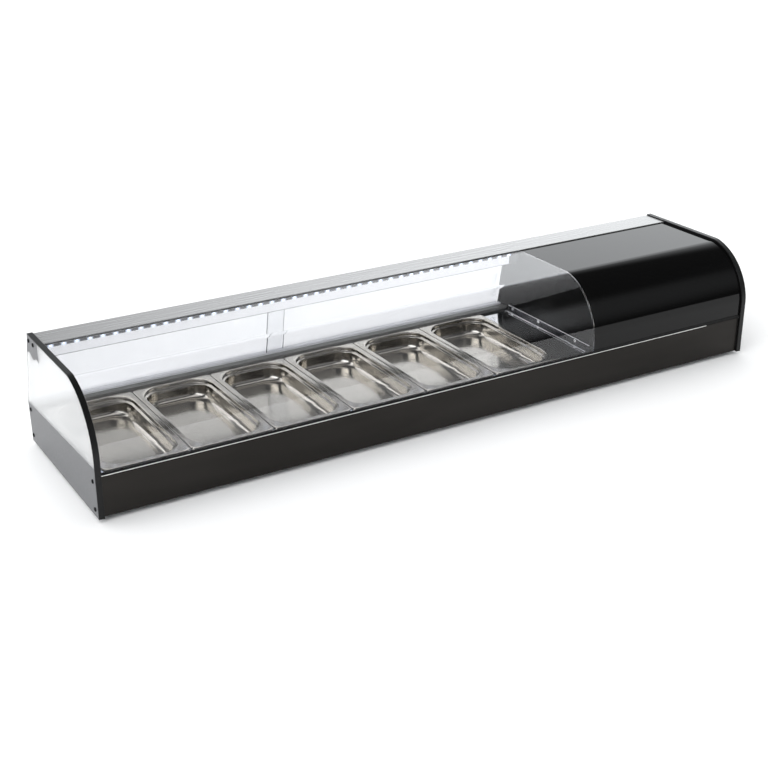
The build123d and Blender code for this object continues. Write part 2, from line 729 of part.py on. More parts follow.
def pan():
    """A pressed pan: hemmed rim, stacking shoulder, tapered walls and a rounded floor edge."""
    t = PAN_SHEET
    floor = -PAN_DEPTH + t
    shoulder = 1.0 + PAN_STEP_W
    curve_z = floor + PAN_FLOOR_R * 0.45
    foot = shoulder + PAN_TAPER
    levels = [
        (0.0, 0.0),
        (1.0, -PAN_STEP_Z),
        (shoulder, -PAN_STEP_Z - PAN_STEP_W * 0.55),
        (foot, curve_z),
        (foot + PAN_FLOOR_R, floor),
    ]
    inside = loft([pan_level(0, t)] + [pan_level(*level) for level in levels], ruled=True)
    skin = [pan_level(inset, z, t) for inset, z in levels[:-1]]
    last_inset, last_z = levels[-1]
    outside = loft(skin + [pan_level(last_inset, last_z - t, t)], ruled=True)
    rim = RectangleRounded(PAN_W, PAN_L, PAN_RIM_R)
    hem = rim - RectangleRounded(PAN_W - 2 * t, PAN_L - 2 * t, PAN_RIM_R - t)
    flange = extrude(rim, amount=-t) + extrude(hem, amount=-PAN_RIM_H)
    return flange + outside - inside


def pan_places():
    """The middle of each pan in X."""
    return [FIRST_PAN_X + PAN_W / 2 + number * PITCH for number in range(PAN_COUNT)]


def lip_trim():
    """The thin bright lip over the front panel's top edge."""
    y = FRONT_SETBACK
    face = joined(
        rect(y - LIP_TRIM_T, y, GASKET_Z - LIP_TRIM_H, GASKET_Z),
        rect(y, GLASS_IN_Y, FRONT_PANEL_TOP, GASKET_Z),
    )
    return yz_block(BODY_X0, LIP_TRIM_END_X, face)


def glass_gasket():
    """The black rubber channel in which the curved glass stands."""
    y0, y1 = FRONT_SETBACK - LIP_TRIM_T, GASKET_BACK_Y
    lip = GASKET_Z + GASKET_T + GASKET_LIP_H
    face = joined(
        rect(y0, y1, GASKET_Z, GASKET_Z + GASKET_T),
        rect(y0, FRONT_SETBACK - RUNNING, GASKET_Z, lip),
        rect(GLASS_IN_Y + RUNNING, y1, GASKET_Z, lip),
    )
    return yz_block(BODY_X0 + CLOSE, GLASS_X1, face)


def cover_sill():
    """The black strip on which the housing cover stands."""
    sill = rect(FRONT_SETBACK - LIP_TRIM_T, GASKET_BACK_Y, GASKET_Z, GASKET_Z + SILL_H)
    return yz_block(GLASS_X1 + CLOSE, BODY_X1 - CLOSE, sill)


def curved_front_glass():
    """The bent front glass over the pans."""
    band = nose_band(FRONT_SETBACK, GLASS_T, SLOT_BACK_Y, GLASS_FOOT_Z)
    return yz_block(BODY_X0 + CLOSE, GLASS_X1, band)


def motor_cover():
    """The black cover of the compressor bay, bent to the same line as the glass."""
    band = nose_band(FRONT_SETBACK, COVER_T, SLOT_BACK_Y, GASKET_Z + SILL_H + CLOSE)
    return yz_block(GLASS_X1 + CLOSE, COVER_X1, band)


def leg_y(track_gap):
    """The middle of a channel wall at height z, counted in tracks from the rear one."""
    return lambda z: door_y(z, track_gap)


def top_profile():
    """The extruded top rail: glass slot, lamp web, hollow box and the two door channels."""
    t, wall = PROFILE_T, CHANNEL_WALL
    web = PROFILE_WEB_Y
    edge = DOOR_T / 2 + CLOSE + wall / 2
    rear, front = edge / DOOR_STEP, 1 + edge / DOOR_STEP
    face = joined(
        rect(PROFILE_FRONT_Y, BACK_TOP_Y, PROFILE_UNDER, PROFILE_TOP),
        rect(web, web + t, PROFILE_BOX_Z, PROFILE_UNDER),
        rect(PROFILE_FRONT_Y + 2, web, LEDGE_TOP - t, LEDGE_TOP),
        rect(web, door_y(PROFILE_BOX_Z, -rear), PROFILE_BOX_Z, PROFILE_BOX_Z + t),
        leaning(leg_y(-rear), wall, CHANNEL_Z, PROFILE_BOX_Z + t),
        leaning(leg_y(0.5), wall, CHANNEL_Z, PROFILE_BOX_Z + t),
        leaning(leg_y(front), wall, CHANNEL_Z, PROFILE_BOX_Z + t),
        polygon(
            (door_y(PROFILE_BOX_Z, -rear) + wall / 2, PROFILE_BOX_Z),
            (BACK_TOP_Y, PROFILE_TOP),
            (BACK_TOP_Y - t, PROFILE_TOP),
            (door_y(PROFILE_BOX_Z, -rear) - wall / 2, PROFILE_BOX_Z),
        ),
    )
    return yz_block(END_PANEL_T + CLOSE, COVER_X1, face)


def led_places():
    """The middle of each lamp in X."""
    return [LED_FIRST_X + number * LED_PITCH for number in range(LED_COUNT)]


def led_board():
    """The lamp strip's board, on the front of the profile's web."""
    z1 = LEDGE_TOP - PROFILE_T
    end = led_places()[-1] + LED_PITCH / 2
    return block(LED_FIRST_X - LED_PITCH / 2, end, LED_BOARD_Y, PROFILE_WEB_Y, z1 - LED_BOARD_H, z1)


def led_lamps():
    """The square lamps on the board."""
    z = LEDGE_TOP - PROFILE_T - LED_BOARD_H / 2
    half = LED_SIZE / 2
    return [
        block(x - half, x + half, LED_BOARD_Y - LED_LAMP_T, LED_BOARD_Y, z - half, z + half)
        for x in led_places()
    ]


def door_rail():
    """The ribbed bottom track: three ribs in front and a groove for each door."""
    base = rect(RAIL_FRONT_Y, REAR_PANEL_Y, DECK_TOP, RAIL_FLOOR)
    groove = DOOR_T / 2 + DOOR_PLAY
    front = leg_y(1)(RAIL_FLOOR) + groove
    back = leg_y(0)(RAIL_TOP) - groove
    parts = [
        base,
        rect(leg_y(1)(RAIL_TOP) - groove - RAIL_RIB_T, leg_y(1)(RAIL_TOP) - groove, DECK_TOP, RAIL_TOP),
        rect(front, back, DECK_TOP, RAIL_TOP),
        rect(leg_y(0)(RAIL_FLOOR) + groove, REAR_PANEL_Y, DECK_TOP, RAIL_TOP),
    ]
    for number in range(RAIL_RIBS):
        y = RAIL_FRONT_Y + number * RAIL_RIB_STEP
        parts.append(rect(y, y + RAIL_RIB_T, DECK_TOP, RAIL_TOP))
    return yz_block(BODY_X0, PARTITION_X - CLOSE, joined(*parts))


def rear_door(x0, x1, track):
    """A clear sliding door that leans with its track."""
    return yz_block(x0, x1, leaning(leg_y(track), DOOR_SPAN_Y, DOOR_FOOT, DOOR_TOP))


def door_pull(x, track):
    """A slim grip with a finger scoop, on a door's rear face."""
    z = (DOOR_FOOT + DOOR_TOP) / 2
    y = door_y(z, track) + DOOR_SPAN_Y / 2
    grip = Box(PULL_W, PULL_T, PULL_H)
    grip = fillet(grip.edges().filter_by(Axis.Y), PULL_W / 4)
    scoop = Pos(0, PULL_SCOOP_R, 0) * Cylinder(PULL_SCOOP_R, PULL_H * 0.7)
    return Pos(x, y, z) * Rot(DOOR_LEAN, 0, 0) * Pos(0, PULL_T / 2, 0) * (grip - scoop)


def partition_wall():
    """The glossy wall between the pans and the compressor bay, cut to clear the top profile."""
    front_leg = door_y(PROFILE_BOX_Z, 1) - DOOR_T / 2 - CHANNEL_WALL - 2 * CLOSE
    rear = DOOR_T / 2 + CLOSE
    outline = nose_face(
        GLASS_IN_Y + CLOSE,
        PROFILE_FRONT_Y + 2 - CLOSE,
        DECK_TOP,
        (door_y(DECK_TOP, 0) + rear, DECK_TOP),
        (door_y(CHANNEL_Z, 0) + rear, CHANNEL_Z - CLOSE),
        (front_leg, CHANNEL_Z - CLOSE),
        (front_leg, PROFILE_BOX_Z - CLOSE),
        (PROFILE_WEB_Y - CLOSE, PROFILE_BOX_Z - CLOSE),
        (PROFILE_WEB_Y - CLOSE, LEDGE_TOP - PROFILE_T - CLOSE),
        (PROFILE_FRONT_Y + 2 - CLOSE, LEDGE_TOP - PROFILE_T - CLOSE),
    )
    wall = yz_block(PARTITION_X, PARTITION_X + PARTITION_T, outline)
    wall -= block(0, LENGTH, 0, GASKET_BACK_Y + CLOSE, DECK_TOP - 1, GASKET_Z + SILL_H + CLOSE)
    for y in ANGLE_SCREW_YS:
        wall -= rod_x(SCREW_R, PARTITION_X - 1, PARTITION_X + PARTITION_T + 1, y, ANGLE_SCREW_Z)
    return wall


def partition_angle():
    """The bright angle strip along the partition's foot."""
    x1, z0 = PARTITION_X, DECK_TOP
    foot = block(x1 - ANGLE_LEG, x1, ANGLE_Y0, ANGLE_Y1, z0, z0 + ANGLE_T)
    upright = block(x1 - ANGLE_T, x1, ANGLE_Y0, ANGLE_Y1, z0, z0 + ANGLE_LEG)
    angle = foot + upright
    for y in ANGLE_SCREW_YS:
        angle -= rod_x(SCREW_R, x1 - ANGLE_LEG, x1 + 1, y, ANGLE_SCREW_Z)
    return angle


def partition_screws():
    """The three bright screws of the angle strip."""
    screws = []
    x1 = PARTITION_X - ANGLE_T
    for y in ANGLE_SCREW_YS:
        head = rod_x(ANGLE_HEAD_R, x1 - SCREW_HEAD_H, x1, y, ANGLE_SCREW_Z)
        head = fillet(head.edges().group_by(Axis.X)[0], SCREW_HEAD_H * 0.6)
        shank = rod_x(SCREW_R, x1, PARTITION_X + PARTITION_T + 1, y, ANGLE_SCREW_Z)
        screws.append(head + shank)
    return screws


def bay_rear_panel():
    """The leaning rear panel of the compressor bay, with rows of vents and a foot flange."""
    top = PROFILE_BOX_Z - CLOSE
    foot_y = door_y(DECK_UNDER, 0)
    sheet = leaning(leg_y(0), BAY_PANEL_T, DECK_UNDER, top)
    foot = rect(foot_y, REAR_PANEL_Y, DECK_UNDER, DECK_UNDER + BAY_PANEL_T)
    panel = yz_block(DECK_END_X + CLOSE, BODY_X1 - CLOSE, sheet + foot)
    for column in BAY_VENT_XS:
        for row in range(BAY_VENT_ROWS):
            z = BAY_VENT_Z + row * VENT_STEP
            panel -= Pos(column, door_y(z, 0), z) * vent_slot(VENT_W, VENT_H, 8 * BAY_PANEL_T)
    return panel


def compressor():
    """The welded compressor pot: two deep-drawn halves, a seam band and its pipe stubs."""
    half = COMPRESSOR_H / 2
    bowl = Ellipse(COMPRESSOR_RX, COMPRESSOR_RY)
    lower = extrude(bowl, amount=half)
    lower = fillet(lower.edges().group_by(Axis.Z)[0], COMPRESSOR_LOW_R)
    upper = extrude(Pos(0, 0, half) * bowl, amount=half)
    upper = fillet(upper.edges().group_by(Axis.Z)[-1], COMPRESSOR_DOME_R)
    seam = Ellipse(COMPRESSOR_RX + SEAM_W, COMPRESSOR_RY + SEAM_W)
    pot = lower + upper + extrude(Pos(0, 0, half - SEAM_W / 2) * seam, amount=SEAM_W)
    pot = Pos(COMPRESSOR_X, COMPRESSOR_Y, COMPRESSOR_Z0) * pot
    for y in (SUCTION_Y, DISCHARGE_Y):
        pot += rod_x(LINE_R + STUB_WALL, STUB_X, COMPRESSOR_X, y, STUB_Z)
    return pot


def compressor_base():
    """The steel plate that the compressor is welded to."""
    w, d = COMPRESSOR_RX + BASE_PLATE_WING, COMPRESSOR_RY
    x, y = COMPRESSOR_X, COMPRESSOR_Y
    plate = block(x - w, x + w, y - d, y + d, COMPRESSOR_Z0 - COMPRESSOR_BASE_T, COMPRESSOR_Z0)
    return fillet(plate.edges().filter_by(Axis.Z), BASE_PLATE_R)


def compressor_grommets():
    """The four rubber grommets between the plate and the floor."""
    z1 = COMPRESSOR_Z0 - COMPRESSOR_BASE_T
    grommets = []
    for sx in (-1, 1):
        for sy in (-1, 1):
            x = COMPRESSOR_X + sx * (COMPRESSOR_RX + GROMMET_INSET)
            y = COMPRESSOR_Y + sy * (COMPRESSOR_RY - GROMMET_INSET)
            neck = rod_z(GROMMET_NECK_R, FLOOR_TOP, z1, x, y)
            low = rod_z(GROMMET_R, FLOOR_TOP, FLOOR_TOP + GROMMET_LIP, x, y)
            high = rod_z(GROMMET_R, z1 - GROMMET_LIP, z1, x, y)
            grommets.append(neck + low + high)
    return grommets


def condenser():
    """The finned condenser block between two end plates, with its two pipe stubs."""
    x0, x1 = CONDENSER_X, CONDENSER_X + CONDENSER_W
    y0, y1 = CONDENSER_Y, CONDENSER_Y + CONDENSER_D
    z0, z1 = FLOOR_TOP, FLOOR_TOP + CONDENSER_H
    low, high = z0 + FIN_END, z1 - FIN_END
    core = block(x0, x1, y0 + FIN_PLATE_OVER, y1 - FIN_PLATE_OVER, low, high)
    pieces = [
        core,
        block(x0, x0 + FIN_PLATE_T, y0, y1, z0, z1),
        block(x1 - FIN_PLATE_T, x1, y0, y1, z0, z1),
    ]
    step = (x1 - x0 - 2 * FIN_PLATE_T) / (FIN_COUNT + 1)
    for number in range(1, FIN_COUNT + 1):
        x = x0 + FIN_PLATE_T + number * step
        pieces.append(block(x - FIN_T / 2, x + FIN_T / 2, y0 + FIN_INSET, y1 - FIN_INSET, low, high))
    for z in (CONDENSER_IN_Z, CONDENSER_OUT_Z):
        pieces.append(rod_x(LINE_R + STUB_WALL, x0 - STUB_L, x0, (y0 + y1) / 2, z))
    return joined(*pieces)


def fan_shroud():
    """The plate in front of the condenser, with the fan's round opening and its collar."""
    x0, x1 = CONDENSER_X, CONDENSER_X + CONDENSER_W
    z0, z1 = FLOOR_TOP, FLOOR_TOP + CONDENSER_H
    y1 = CONDENSER_Y
    plate = block(x0, x1, y1 - SHROUD_T, y1, z0, z1)
    collar = rod_y(FAN_R + FAN_CLEAR + SHROUD_T, y1 - SHROUD_COLLAR, y1, FAN_X, FAN_Z)
    return plate + collar - rod_y(FAN_R + FAN_CLEAR, y1 - SHROUD_COLLAR - 1, y1 + 1, FAN_X, FAN_Z)


def fan_blade():
    """One blade: a thin section that widens and flattens from the hub to the tip."""
    middle_r = (FAN_HUB_R + FAN_R) / 2
    stations = [
        (FAN_HUB_R - BLADE_SUNK, ROOT_CHORD, ROOT_PITCH),
        (middle_r, MIDDLE_CHORD, MIDDLE_PITCH),
        (FAN_R, TIP_CHORD, TIP_PITCH),
    ]
    sections = []
    for radius, chord, pitch in stations:
        turn = math.radians(pitch)
        plane = Plane(origin=(radius, 0, 0), x_dir=(0, math.cos(turn), math.sin(turn)), z_dir=(1, 0, 0))
        sections.append(plane * Rectangle(chord, BLADE_T))
    blade = loft(sections)
    return blade & Cylinder(FAN_R, 4 * FAN_HUB_H)


def fan_rotor():
    """The hub with its twisted blades, bored for the motor's shaft."""
    rotor = Cylinder(FAN_HUB_R, FAN_HUB_H)
    rotor = fillet(rotor.edges().group_by(Axis.Z)[-1], HUB_EDGE_R)
    for number in range(FAN_BLADES):
        rotor += Rot(0, 0, number * 360 / FAN_BLADES) * fan_blade()
    rotor -= Cylinder(FAN_SHAFT_R, FAN_HUB_H * 2)
    return Pos(FAN_X, FAN_Y, FAN_Z) * Rot(90, 0, 0) * rotor


def fan_motor():
    """The fan motor, with the bearing bore of its shaft."""
    y1 = MOTOR_Y + MOTOR_L
    body = rod_y(MOTOR_R, MOTOR_Y, y1, FAN_X, FAN_Z)
    body = fillet(body.edges().filter_by(GeomType.CIRCLE), MOTOR_EDGE_R)
    boss_y = y1 + MOTOR_BOSS_L
    body += rod_y(BOSS_R, y1, boss_y, FAN_X, FAN_Z)
    return body - rod_y(FAN_SHAFT_R + RUNNING, y1 - SHAFT_IN, boss_y + 1, FAN_X, FAN_Z)


def fan_shaft():
    """The shaft that carries the rotor."""
    y1 = MOTOR_Y + MOTOR_L
    return rod_y(FAN_SHAFT_R, y1 - SHAFT_IN + 1, FAN_Y + FAN_HUB_H / 2, FAN_X, FAN_Z)


def fan_bracket():
    """The folded foot that holds the motor by its back."""
    x0, x1 = FAN_X - BRACKET_W / 2, FAN_X + BRACKET_W / 2
    y1 = MOTOR_Y
    upright = block(x0, x1, y1 - BRACKET_T, y1, FLOOR_TOP, FAN_Z + BRACKET_UP)
    foot = block(x0, x1, y1 - BRACKET_FOOT_L, y1, FLOOR_TOP, FLOOR_TOP + BRACKET_T)
    return upright + foot


def filter_drier():
    """The copper filter drier, spun down to the pipe size at both ends, in its saddle."""
    r, x0, x1 = DRIER_R, DRIER_X0, DRIER_X0 + DRIER_L
    neck = LINE_R + DRIER_NECK_T
    a, b = DRIER_NECK_L, DRIER_NECK_L + DRIER_CONE_L
    low_side = [(x0, 0), (x0, neck), (x0 + a, neck), (x0 + b, r)]
    high_side = [(x1 - b, r), (x1 - a, neck), (x1, neck), (x1, 0)]
    outline = Polyline(*low_side, *high_side, close=True)
    body = Pos(0, DRIER_Y, DRIER_Z) * revolve(make_face(outline), axis=Axis.X)
    mid, w, d = (x0 + x1) / 2, SADDLE_W / 2, SADDLE_D / 2
    return body + block(mid - w, mid + w, DRIER_Y - d, DRIER_Y + d, FLOOR_TOP, DRIER_Z)


def refrigerant_lines():
    """The pipes between the compressor, the condenser, the drier and the cooling coil."""
    coil_x = BULKHEAD_X1 + PIPE_END
    rise_x = coil_x + RISE_GAP
    over_z = PROFILE_BOX_Z - OVER_GAP
    cond_x, cond_y = CONDENSER_X - STUB_L, CONDENSER_Y + CONDENSER_D / 2
    drop_x = cond_x - DROP_GAP
    suction = FilletPolyline(
        (coil_x, COIL_LAST_Y, COIL_Z),
        (rise_x, COIL_LAST_Y, COIL_Z),
        (rise_x, COIL_LAST_Y, STUB_Z),
        (rise_x, SUCTION_Y, STUB_Z),
        (STUB_X, SUCTION_Y, STUB_Z),
        radius=LINE_BEND_R,
    )
    discharge = FilletPolyline(
        (STUB_X, DISCHARGE_Y, STUB_Z),
        (rise_x, DISCHARGE_Y, STUB_Z),
        (rise_x, DISCHARGE_Y, over_z),
        (rise_x, cond_y, over_z),
        (drop_x, cond_y, over_z),
        (drop_x, cond_y, CONDENSER_IN_Z),
        (cond_x, cond_y, CONDENSER_IN_Z),
        radius=LINE_BEND_R,
    )
    liquid = FilletPolyline(
        (cond_x, cond_y, CONDENSER_OUT_Z),
        (drop_x, cond_y, CONDENSER_OUT_Z),
        (drop_x, DRIER_Y, CONDENSER_OUT_Z),
        (DRIER_X0 + DRIER_L, DRIER_Y, CONDENSER_OUT_Z),
        radius=LINE_BEND_R,
    )
    capillary = FilletPolyline(
        (DRIER_X0, DRIER_Y, DRIER_Z),
        (DRIER_X0 - CAPILLARY_RUN, DRIER_Y, DRIER_Z),
        (coil_x + CAPILLARY_OUT, COIL_FIRST_Y, COIL_Z),
        (coil_x, COIL_FIRST_Y, COIL_Z),
        radius=CAPILLARY_BEND_R,
    )
    wide = [tube(path, LINE_R) for path in (suction, discharge, liquid)]
    return wide + [tube(capillary, CAPILLARY_R)]


def well_probe():
    """The thermostat's probe, clipped to the well's end wall."""
    x = LINER_X1 - PROBE_R
    rod = rod_y(PROBE_R, PROBE_Y, PROBE_Y + PROBE_L, x, PROBE_Z)
    mid, w, h = PROBE_Y + PROBE_L / 2, PROBE_CLIP_W / 2, PROBE_CLIP_H / 2
    clip = block(x, LINER_X1, mid - w, mid + w, PROBE_Z - h, PROBE_Z + h)
    return rod + clip


def control_span(grow):
    """The controller body's X range, grown by a clearance."""
    return CONTROL_X - CONTROL_BODY_W / 2 - grow, CONTROL_X + CONTROL_BODY_W / 2 + grow


def control_rise(grow):
    """The controller body's Z range, grown by a clearance."""
    return CONTROL_Z - CONTROL_BODY_H / 2 - grow, CONTROL_Z + CONTROL_BODY_H / 2 + grow


def key_places():
    """X and Z of the four keys, two by two beside the display."""
    x = CONTROL_X - BEZEL_W / 2 + KEYS_INSET
    dx, dz = KEY_STEP_X / 2, KEY_STEP_Z / 2
    return [(x + sx * dx, CONTROL_Z + sz * dz) for sz in (1, -1) for sx in (1, -1)]


def controller_body():
    """The controller's case behind the panel and its bezel in front, with key pockets and a window."""
    bezel = block(
        CONTROL_X - BEZEL_W / 2,
        CONTROL_X + BEZEL_W / 2,
        REAR_PANEL_Y,
        CONTROL_FACE_Y,
        CONTROL_Z - BEZEL_H / 2,
        CONTROL_Z + BEZEL_H / 2,
    )
    bezel = fillet(bezel.edges().filter_by(Axis.Y), BEZEL_CORNER_R)
    body = block(*control_span(0), CONTROL_BODY_Y, REAR_PANEL_Y, *control_rise(0))
    for x, z in key_places():
        w, h = KEY_W / 2 + CLOSE, KEY_H / 2 + CLOSE
        bezel -= block(x - w, x + w, REAR_PANEL_Y, CONTROL_FACE_Y + 1, z - h, z + h)
    x0, x1, z0, z1 = window_span()
    bezel -= block(x0, x1, CONTROL_FACE_Y - WINDOW_T, CONTROL_FACE_Y + 1, z0, z1)
    return bezel + body


def window_span():
    """X and Z range of the display window."""
    x, w, h = CONTROL_X + WINDOW_SHIFT, WINDOW_W / 2, WINDOW_H / 2
    return x - w, x + w, CONTROL_Z - h, CONTROL_Z + h


def display_window():
    """The dark window over the display."""
    x0, x1, z0, z1 = window_span()
    return block(x0, x1, CONTROL_FACE_Y - WINDOW_T, CONTROL_FACE_Y, z0, z1)


def control_key(x, z):
    """A key cap that can sink into its pocket."""
    y0 = REAR_PANEL_Y + KEY_TRAVEL + KEY_SEAT
    y1 = CONTROL_FACE_Y + KEY_TRAVEL + CLOSE
    key = block(x - KEY_W / 2, x + KEY_W / 2, y0, y1, z - KEY_H / 2, z + KEY_H / 2)
    return fillet(key.edges().filter_by(Axis.Y), KEY_CORNER_R)


def switch_places():
    """The middle of each rocker switch in X."""
    return [SWITCH_X, SWITCH_X + SWITCH_STEP]


def switch_housings():
    """The two switch housings: a frame outside, a body behind, and the rocker's well and bearings."""
    housings = []
    for x in switch_places():
        w, h = SWITCH_BODY_W / 2, SWITCH_BODY_H / 2
        y, z = REAR_PANEL_Y, CONTROL_Z
        f = SWITCH_FRAME
        frame = block(x - w - f, x + w + f, y, y + f, z - h - f, z + h + f)
        frame = fillet(frame.edges().filter_by(Axis.Y), f)
        body = block(x - w, x + w, SWITCH_BODY_Y, y, z - h, z + h)
        hw, hh = ROCKER_W / 2 + CLOSE, ROCKER_H / 2 + ROCKER_CLEAR
        well = block(x - hw, x + hw, y - ROCKER_WELL, y + f + 1, z - hh, z + hh)
        reach = hw + ROCKER_PIN_L
        bearing = rod_x(ROCKER_PIN_R + RUNNING, x - reach, x + reach, ROCKER_PIN_Y, z)
        housings.append(frame + body - well - bearing)
    return housings


def rocker(x):
    """A rocker with two shallow faces, turned to its OFF side, on its two pins."""
    half = ROCKER_H / 2
    y = REAR_PANEL_Y
    face = polygon(
        (y - ROCKER_BACK, CONTROL_Z - half + 1),
        (y + ROCKER_LOW, CONTROL_Z - half),
        (y + ROCKER_MID, CONTROL_Z),
        (y + ROCKER_HIGH, CONTROL_Z + half),
        (y - ROCKER_BACK, CONTROL_Z + half - 1),
    )
    cap = yz_block(x - ROCKER_W / 2, x + ROCKER_W / 2, face)
    reach = ROCKER_W / 2 + ROCKER_PIN_L
    return cap + rod_x(ROCKER_PIN_R, x - reach, x + reach, ROCKER_PIN_Y, CONTROL_Z)


def cable_inlet():
    """The bush through which a supply cord would enter."""
    y0 = REAR_PANEL_Y - BASE_SHEET
    y1 = REAR_PANEL_Y
    neck = rod_y(INLET_NECK_R, y0 - INLET_TAIL_L, y1, INLET_X, INLET_Z)
    flange = rod_y(INLET_FLANGE_R, y1, y1 + INLET_FLANGE_T, INLET_X, INLET_Z)
    nose = rod_y(INLET_NECK_R, y1, y1 + INLET_NOSE_L, INLET_X, INLET_Z)
    nose = fillet(nose.edges().group_by(Axis.Y)[-1], BASE_SHEET)
    barb = rod_y(INLET_NECK_R + INLET_BARB, y0 - INLET_TAIL_L / 2, y0, INLET_X, INLET_Z)
    bore = rod_y(CORD_HOLE_R, y0 - INLET_TAIL_L - 1, y1 + INLET_NOSE_L + 1, INLET_X, INLET_Z)
    return neck + flange + nose + barb - bore


def drain_tube():
    """The tub's drain, from its flange on the liner's floor down through the base."""
    top = LINER_FLOOR_Z + DRAIN_FLANGE_T
    tube_body = rod_z(DRAIN_TUBE_R, DRAIN_END_Z, top, DRAIN_X, DRAIN_Y)
    flange = rod_z(DRAIN_TUBE_R + DRAIN_FLANGE_W, LINER_FLOOR_Z, top, DRAIN_X, DRAIN_Y)
    return tube_body + flange - rod_z(DRAIN_TUBE_R - DRAIN_WALL, 0, top + 1, DRAIN_X, DRAIN_Y)


def drain_cap():
    """The cap on the drain's lower end."""
    low = DRAIN_END_Z - DRAIN_CAP_T
    cup = rod_z(DRAIN_TUBE_R + DRAIN_CAP_WALL, low, FLOOR_Z - 1, DRAIN_X, DRAIN_Y)
    return cup - rod_z(DRAIN_TUBE_R, DRAIN_END_Z, FLOOR_Z, DRAIN_X, DRAIN_Y)


def rubber_feet():
    """The six tapered rubber feet."""
    feet = []
    for x in (FOOT_INSET_X, LENGTH / 2, LENGTH - FOOT_INSET_X):
        for y in (FOOT_INSET_Y, DEPTH - FOOT_INSET_Y):
            foot = rod_z(FOOT_R, 0, FOOT_H, x, y)
            feet.append(chamfer(foot.edges().group_by(Axis.Z)[0], FOOT_CHAMFER))
    return feet


left_door = (BODY_X0 + CLOSE, LEFT_DOOR_END_X)
right_door = (RIGHT_DOOR_START_X, PARTITION_X - CLOSE)

pieces = {
    "left_end_panel": end_panel(0),
    "edge_trims": [edge_trim(0), edge_trim(LENGTH - END_PANEL_T)],
    "side_plates": [side_plate(END_PANEL_T), side_plate(BODY_X1)],
    "right_end_panel": end_panel(LENGTH - END_PANEL_T),
    "side_screws": side_screws(),
    "base_floor": base_floor(),
    "front_base_panel": front_base_panel(),
    "rear_base_panel": rear_base_panel(),
    "rubber_feet": rubber_feet(),
    "deck_frame": deck_frame(),
    "well_liner": well_liner(),
    "well_insulation": well_insulation(),
    "divider_bars": divider_bars(),
    "cooling_coil": tube(coil_path(), PIPE_R),
    "bay_bulkhead": bay_bulkhead(),
    "lip_trim": lip_trim(),
    "front_gaskets": [glass_gasket(), cover_sill()],
    "curved_front_glass": curved_front_glass(),
    "motor_cover": motor_cover(),
    "top_profile": top_profile(),
    "led_board": led_board(),
    "led_lamps": led_lamps(),
    "door_rail": door_rail(),
    "rear_door_left": rear_door(*left_door, 0),
    "rear_door_right": rear_door(*right_door, 1),
    "door_pull_left": door_pull(left_door[0] + PULL_INSET, 0),
    "door_pull_right": door_pull(right_door[1] - PULL_INSET, 1),
    "partition_wall": partition_wall(),
    "partition_angle": partition_angle(),
    "partition_screws": partition_screws(),
    "bay_rear_panel": bay_rear_panel(),
    "compressor": compressor(),
    "compressor_base": compressor_base(),
    "compressor_grommets": compressor_grommets(),
    "condenser": condenser(),
    "fan_shroud": fan_shroud(),
    "fan_motor": fan_motor(),
    "fan_shaft": fan_shaft(),
    "fan_rotor": fan_rotor(),
    "fan_bracket": fan_bracket(),
    "filter_drier": filter_drier(),
    "refrigerant_lines": refrigerant_lines(),
    "well_probe": well_probe(),
    "controller_body": controller_body(),
    "display_window": display_window(),
    "switch_housings": switch_housings(),
    "main_rocker": rocker(switch_places()[0]),
    "light_rocker": rocker(switch_places()[1]),
    "cable_inlet": cable_inlet(),
    "drain": [drain_tube(), drain_cap()],
}
for number, x in enumerate(pan_places(), start=1):
    pieces[f"pan_{number}"] = Pos(x, PAN_MID_Y, PAN_TOP) * pan()
for name, place in zip(("key_set", "key_power", "key_up", "key_down"), key_places()):
    pieces[name] = control_key(*place)

os.makedirs("parts", exist_ok=True)
middle = Pos(-LENGTH / 2, -DEPTH / 2, 0)
for name, piece in pieces.items():
    solids = piece if isinstance(piece, list) else [piece]
    export_step(middle * Compound(children=[solid.solid() for solid in solids]), f"parts/{name}.step")
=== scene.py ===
import math

import bpy
import numpy as np
from bpy.props import FloatProperty, FloatVectorProperty, IntProperty, PointerProperty
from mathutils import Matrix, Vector


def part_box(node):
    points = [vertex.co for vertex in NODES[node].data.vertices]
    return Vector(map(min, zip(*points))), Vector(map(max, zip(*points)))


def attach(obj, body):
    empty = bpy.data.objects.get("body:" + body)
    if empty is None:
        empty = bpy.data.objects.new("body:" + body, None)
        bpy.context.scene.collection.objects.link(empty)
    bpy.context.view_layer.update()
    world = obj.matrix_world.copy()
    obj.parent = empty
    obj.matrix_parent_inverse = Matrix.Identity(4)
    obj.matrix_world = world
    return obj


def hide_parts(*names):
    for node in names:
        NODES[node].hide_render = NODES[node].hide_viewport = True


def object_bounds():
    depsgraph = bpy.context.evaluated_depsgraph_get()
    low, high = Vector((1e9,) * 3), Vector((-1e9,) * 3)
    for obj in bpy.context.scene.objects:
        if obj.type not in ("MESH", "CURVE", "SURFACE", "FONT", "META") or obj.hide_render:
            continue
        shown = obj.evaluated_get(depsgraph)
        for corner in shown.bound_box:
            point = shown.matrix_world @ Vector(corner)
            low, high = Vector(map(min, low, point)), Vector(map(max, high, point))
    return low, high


bl_info = {
    "name": "Tapas display case",
    "version": (1, 0, 0),
    "blender": (4, 5, 0),
    "location": "View3D > Sidebar > Display case",
    "description": "Builds the finished surfaces of a refrigerated countertop case round its fixed frame",
    "category": "Add Mesh",
}

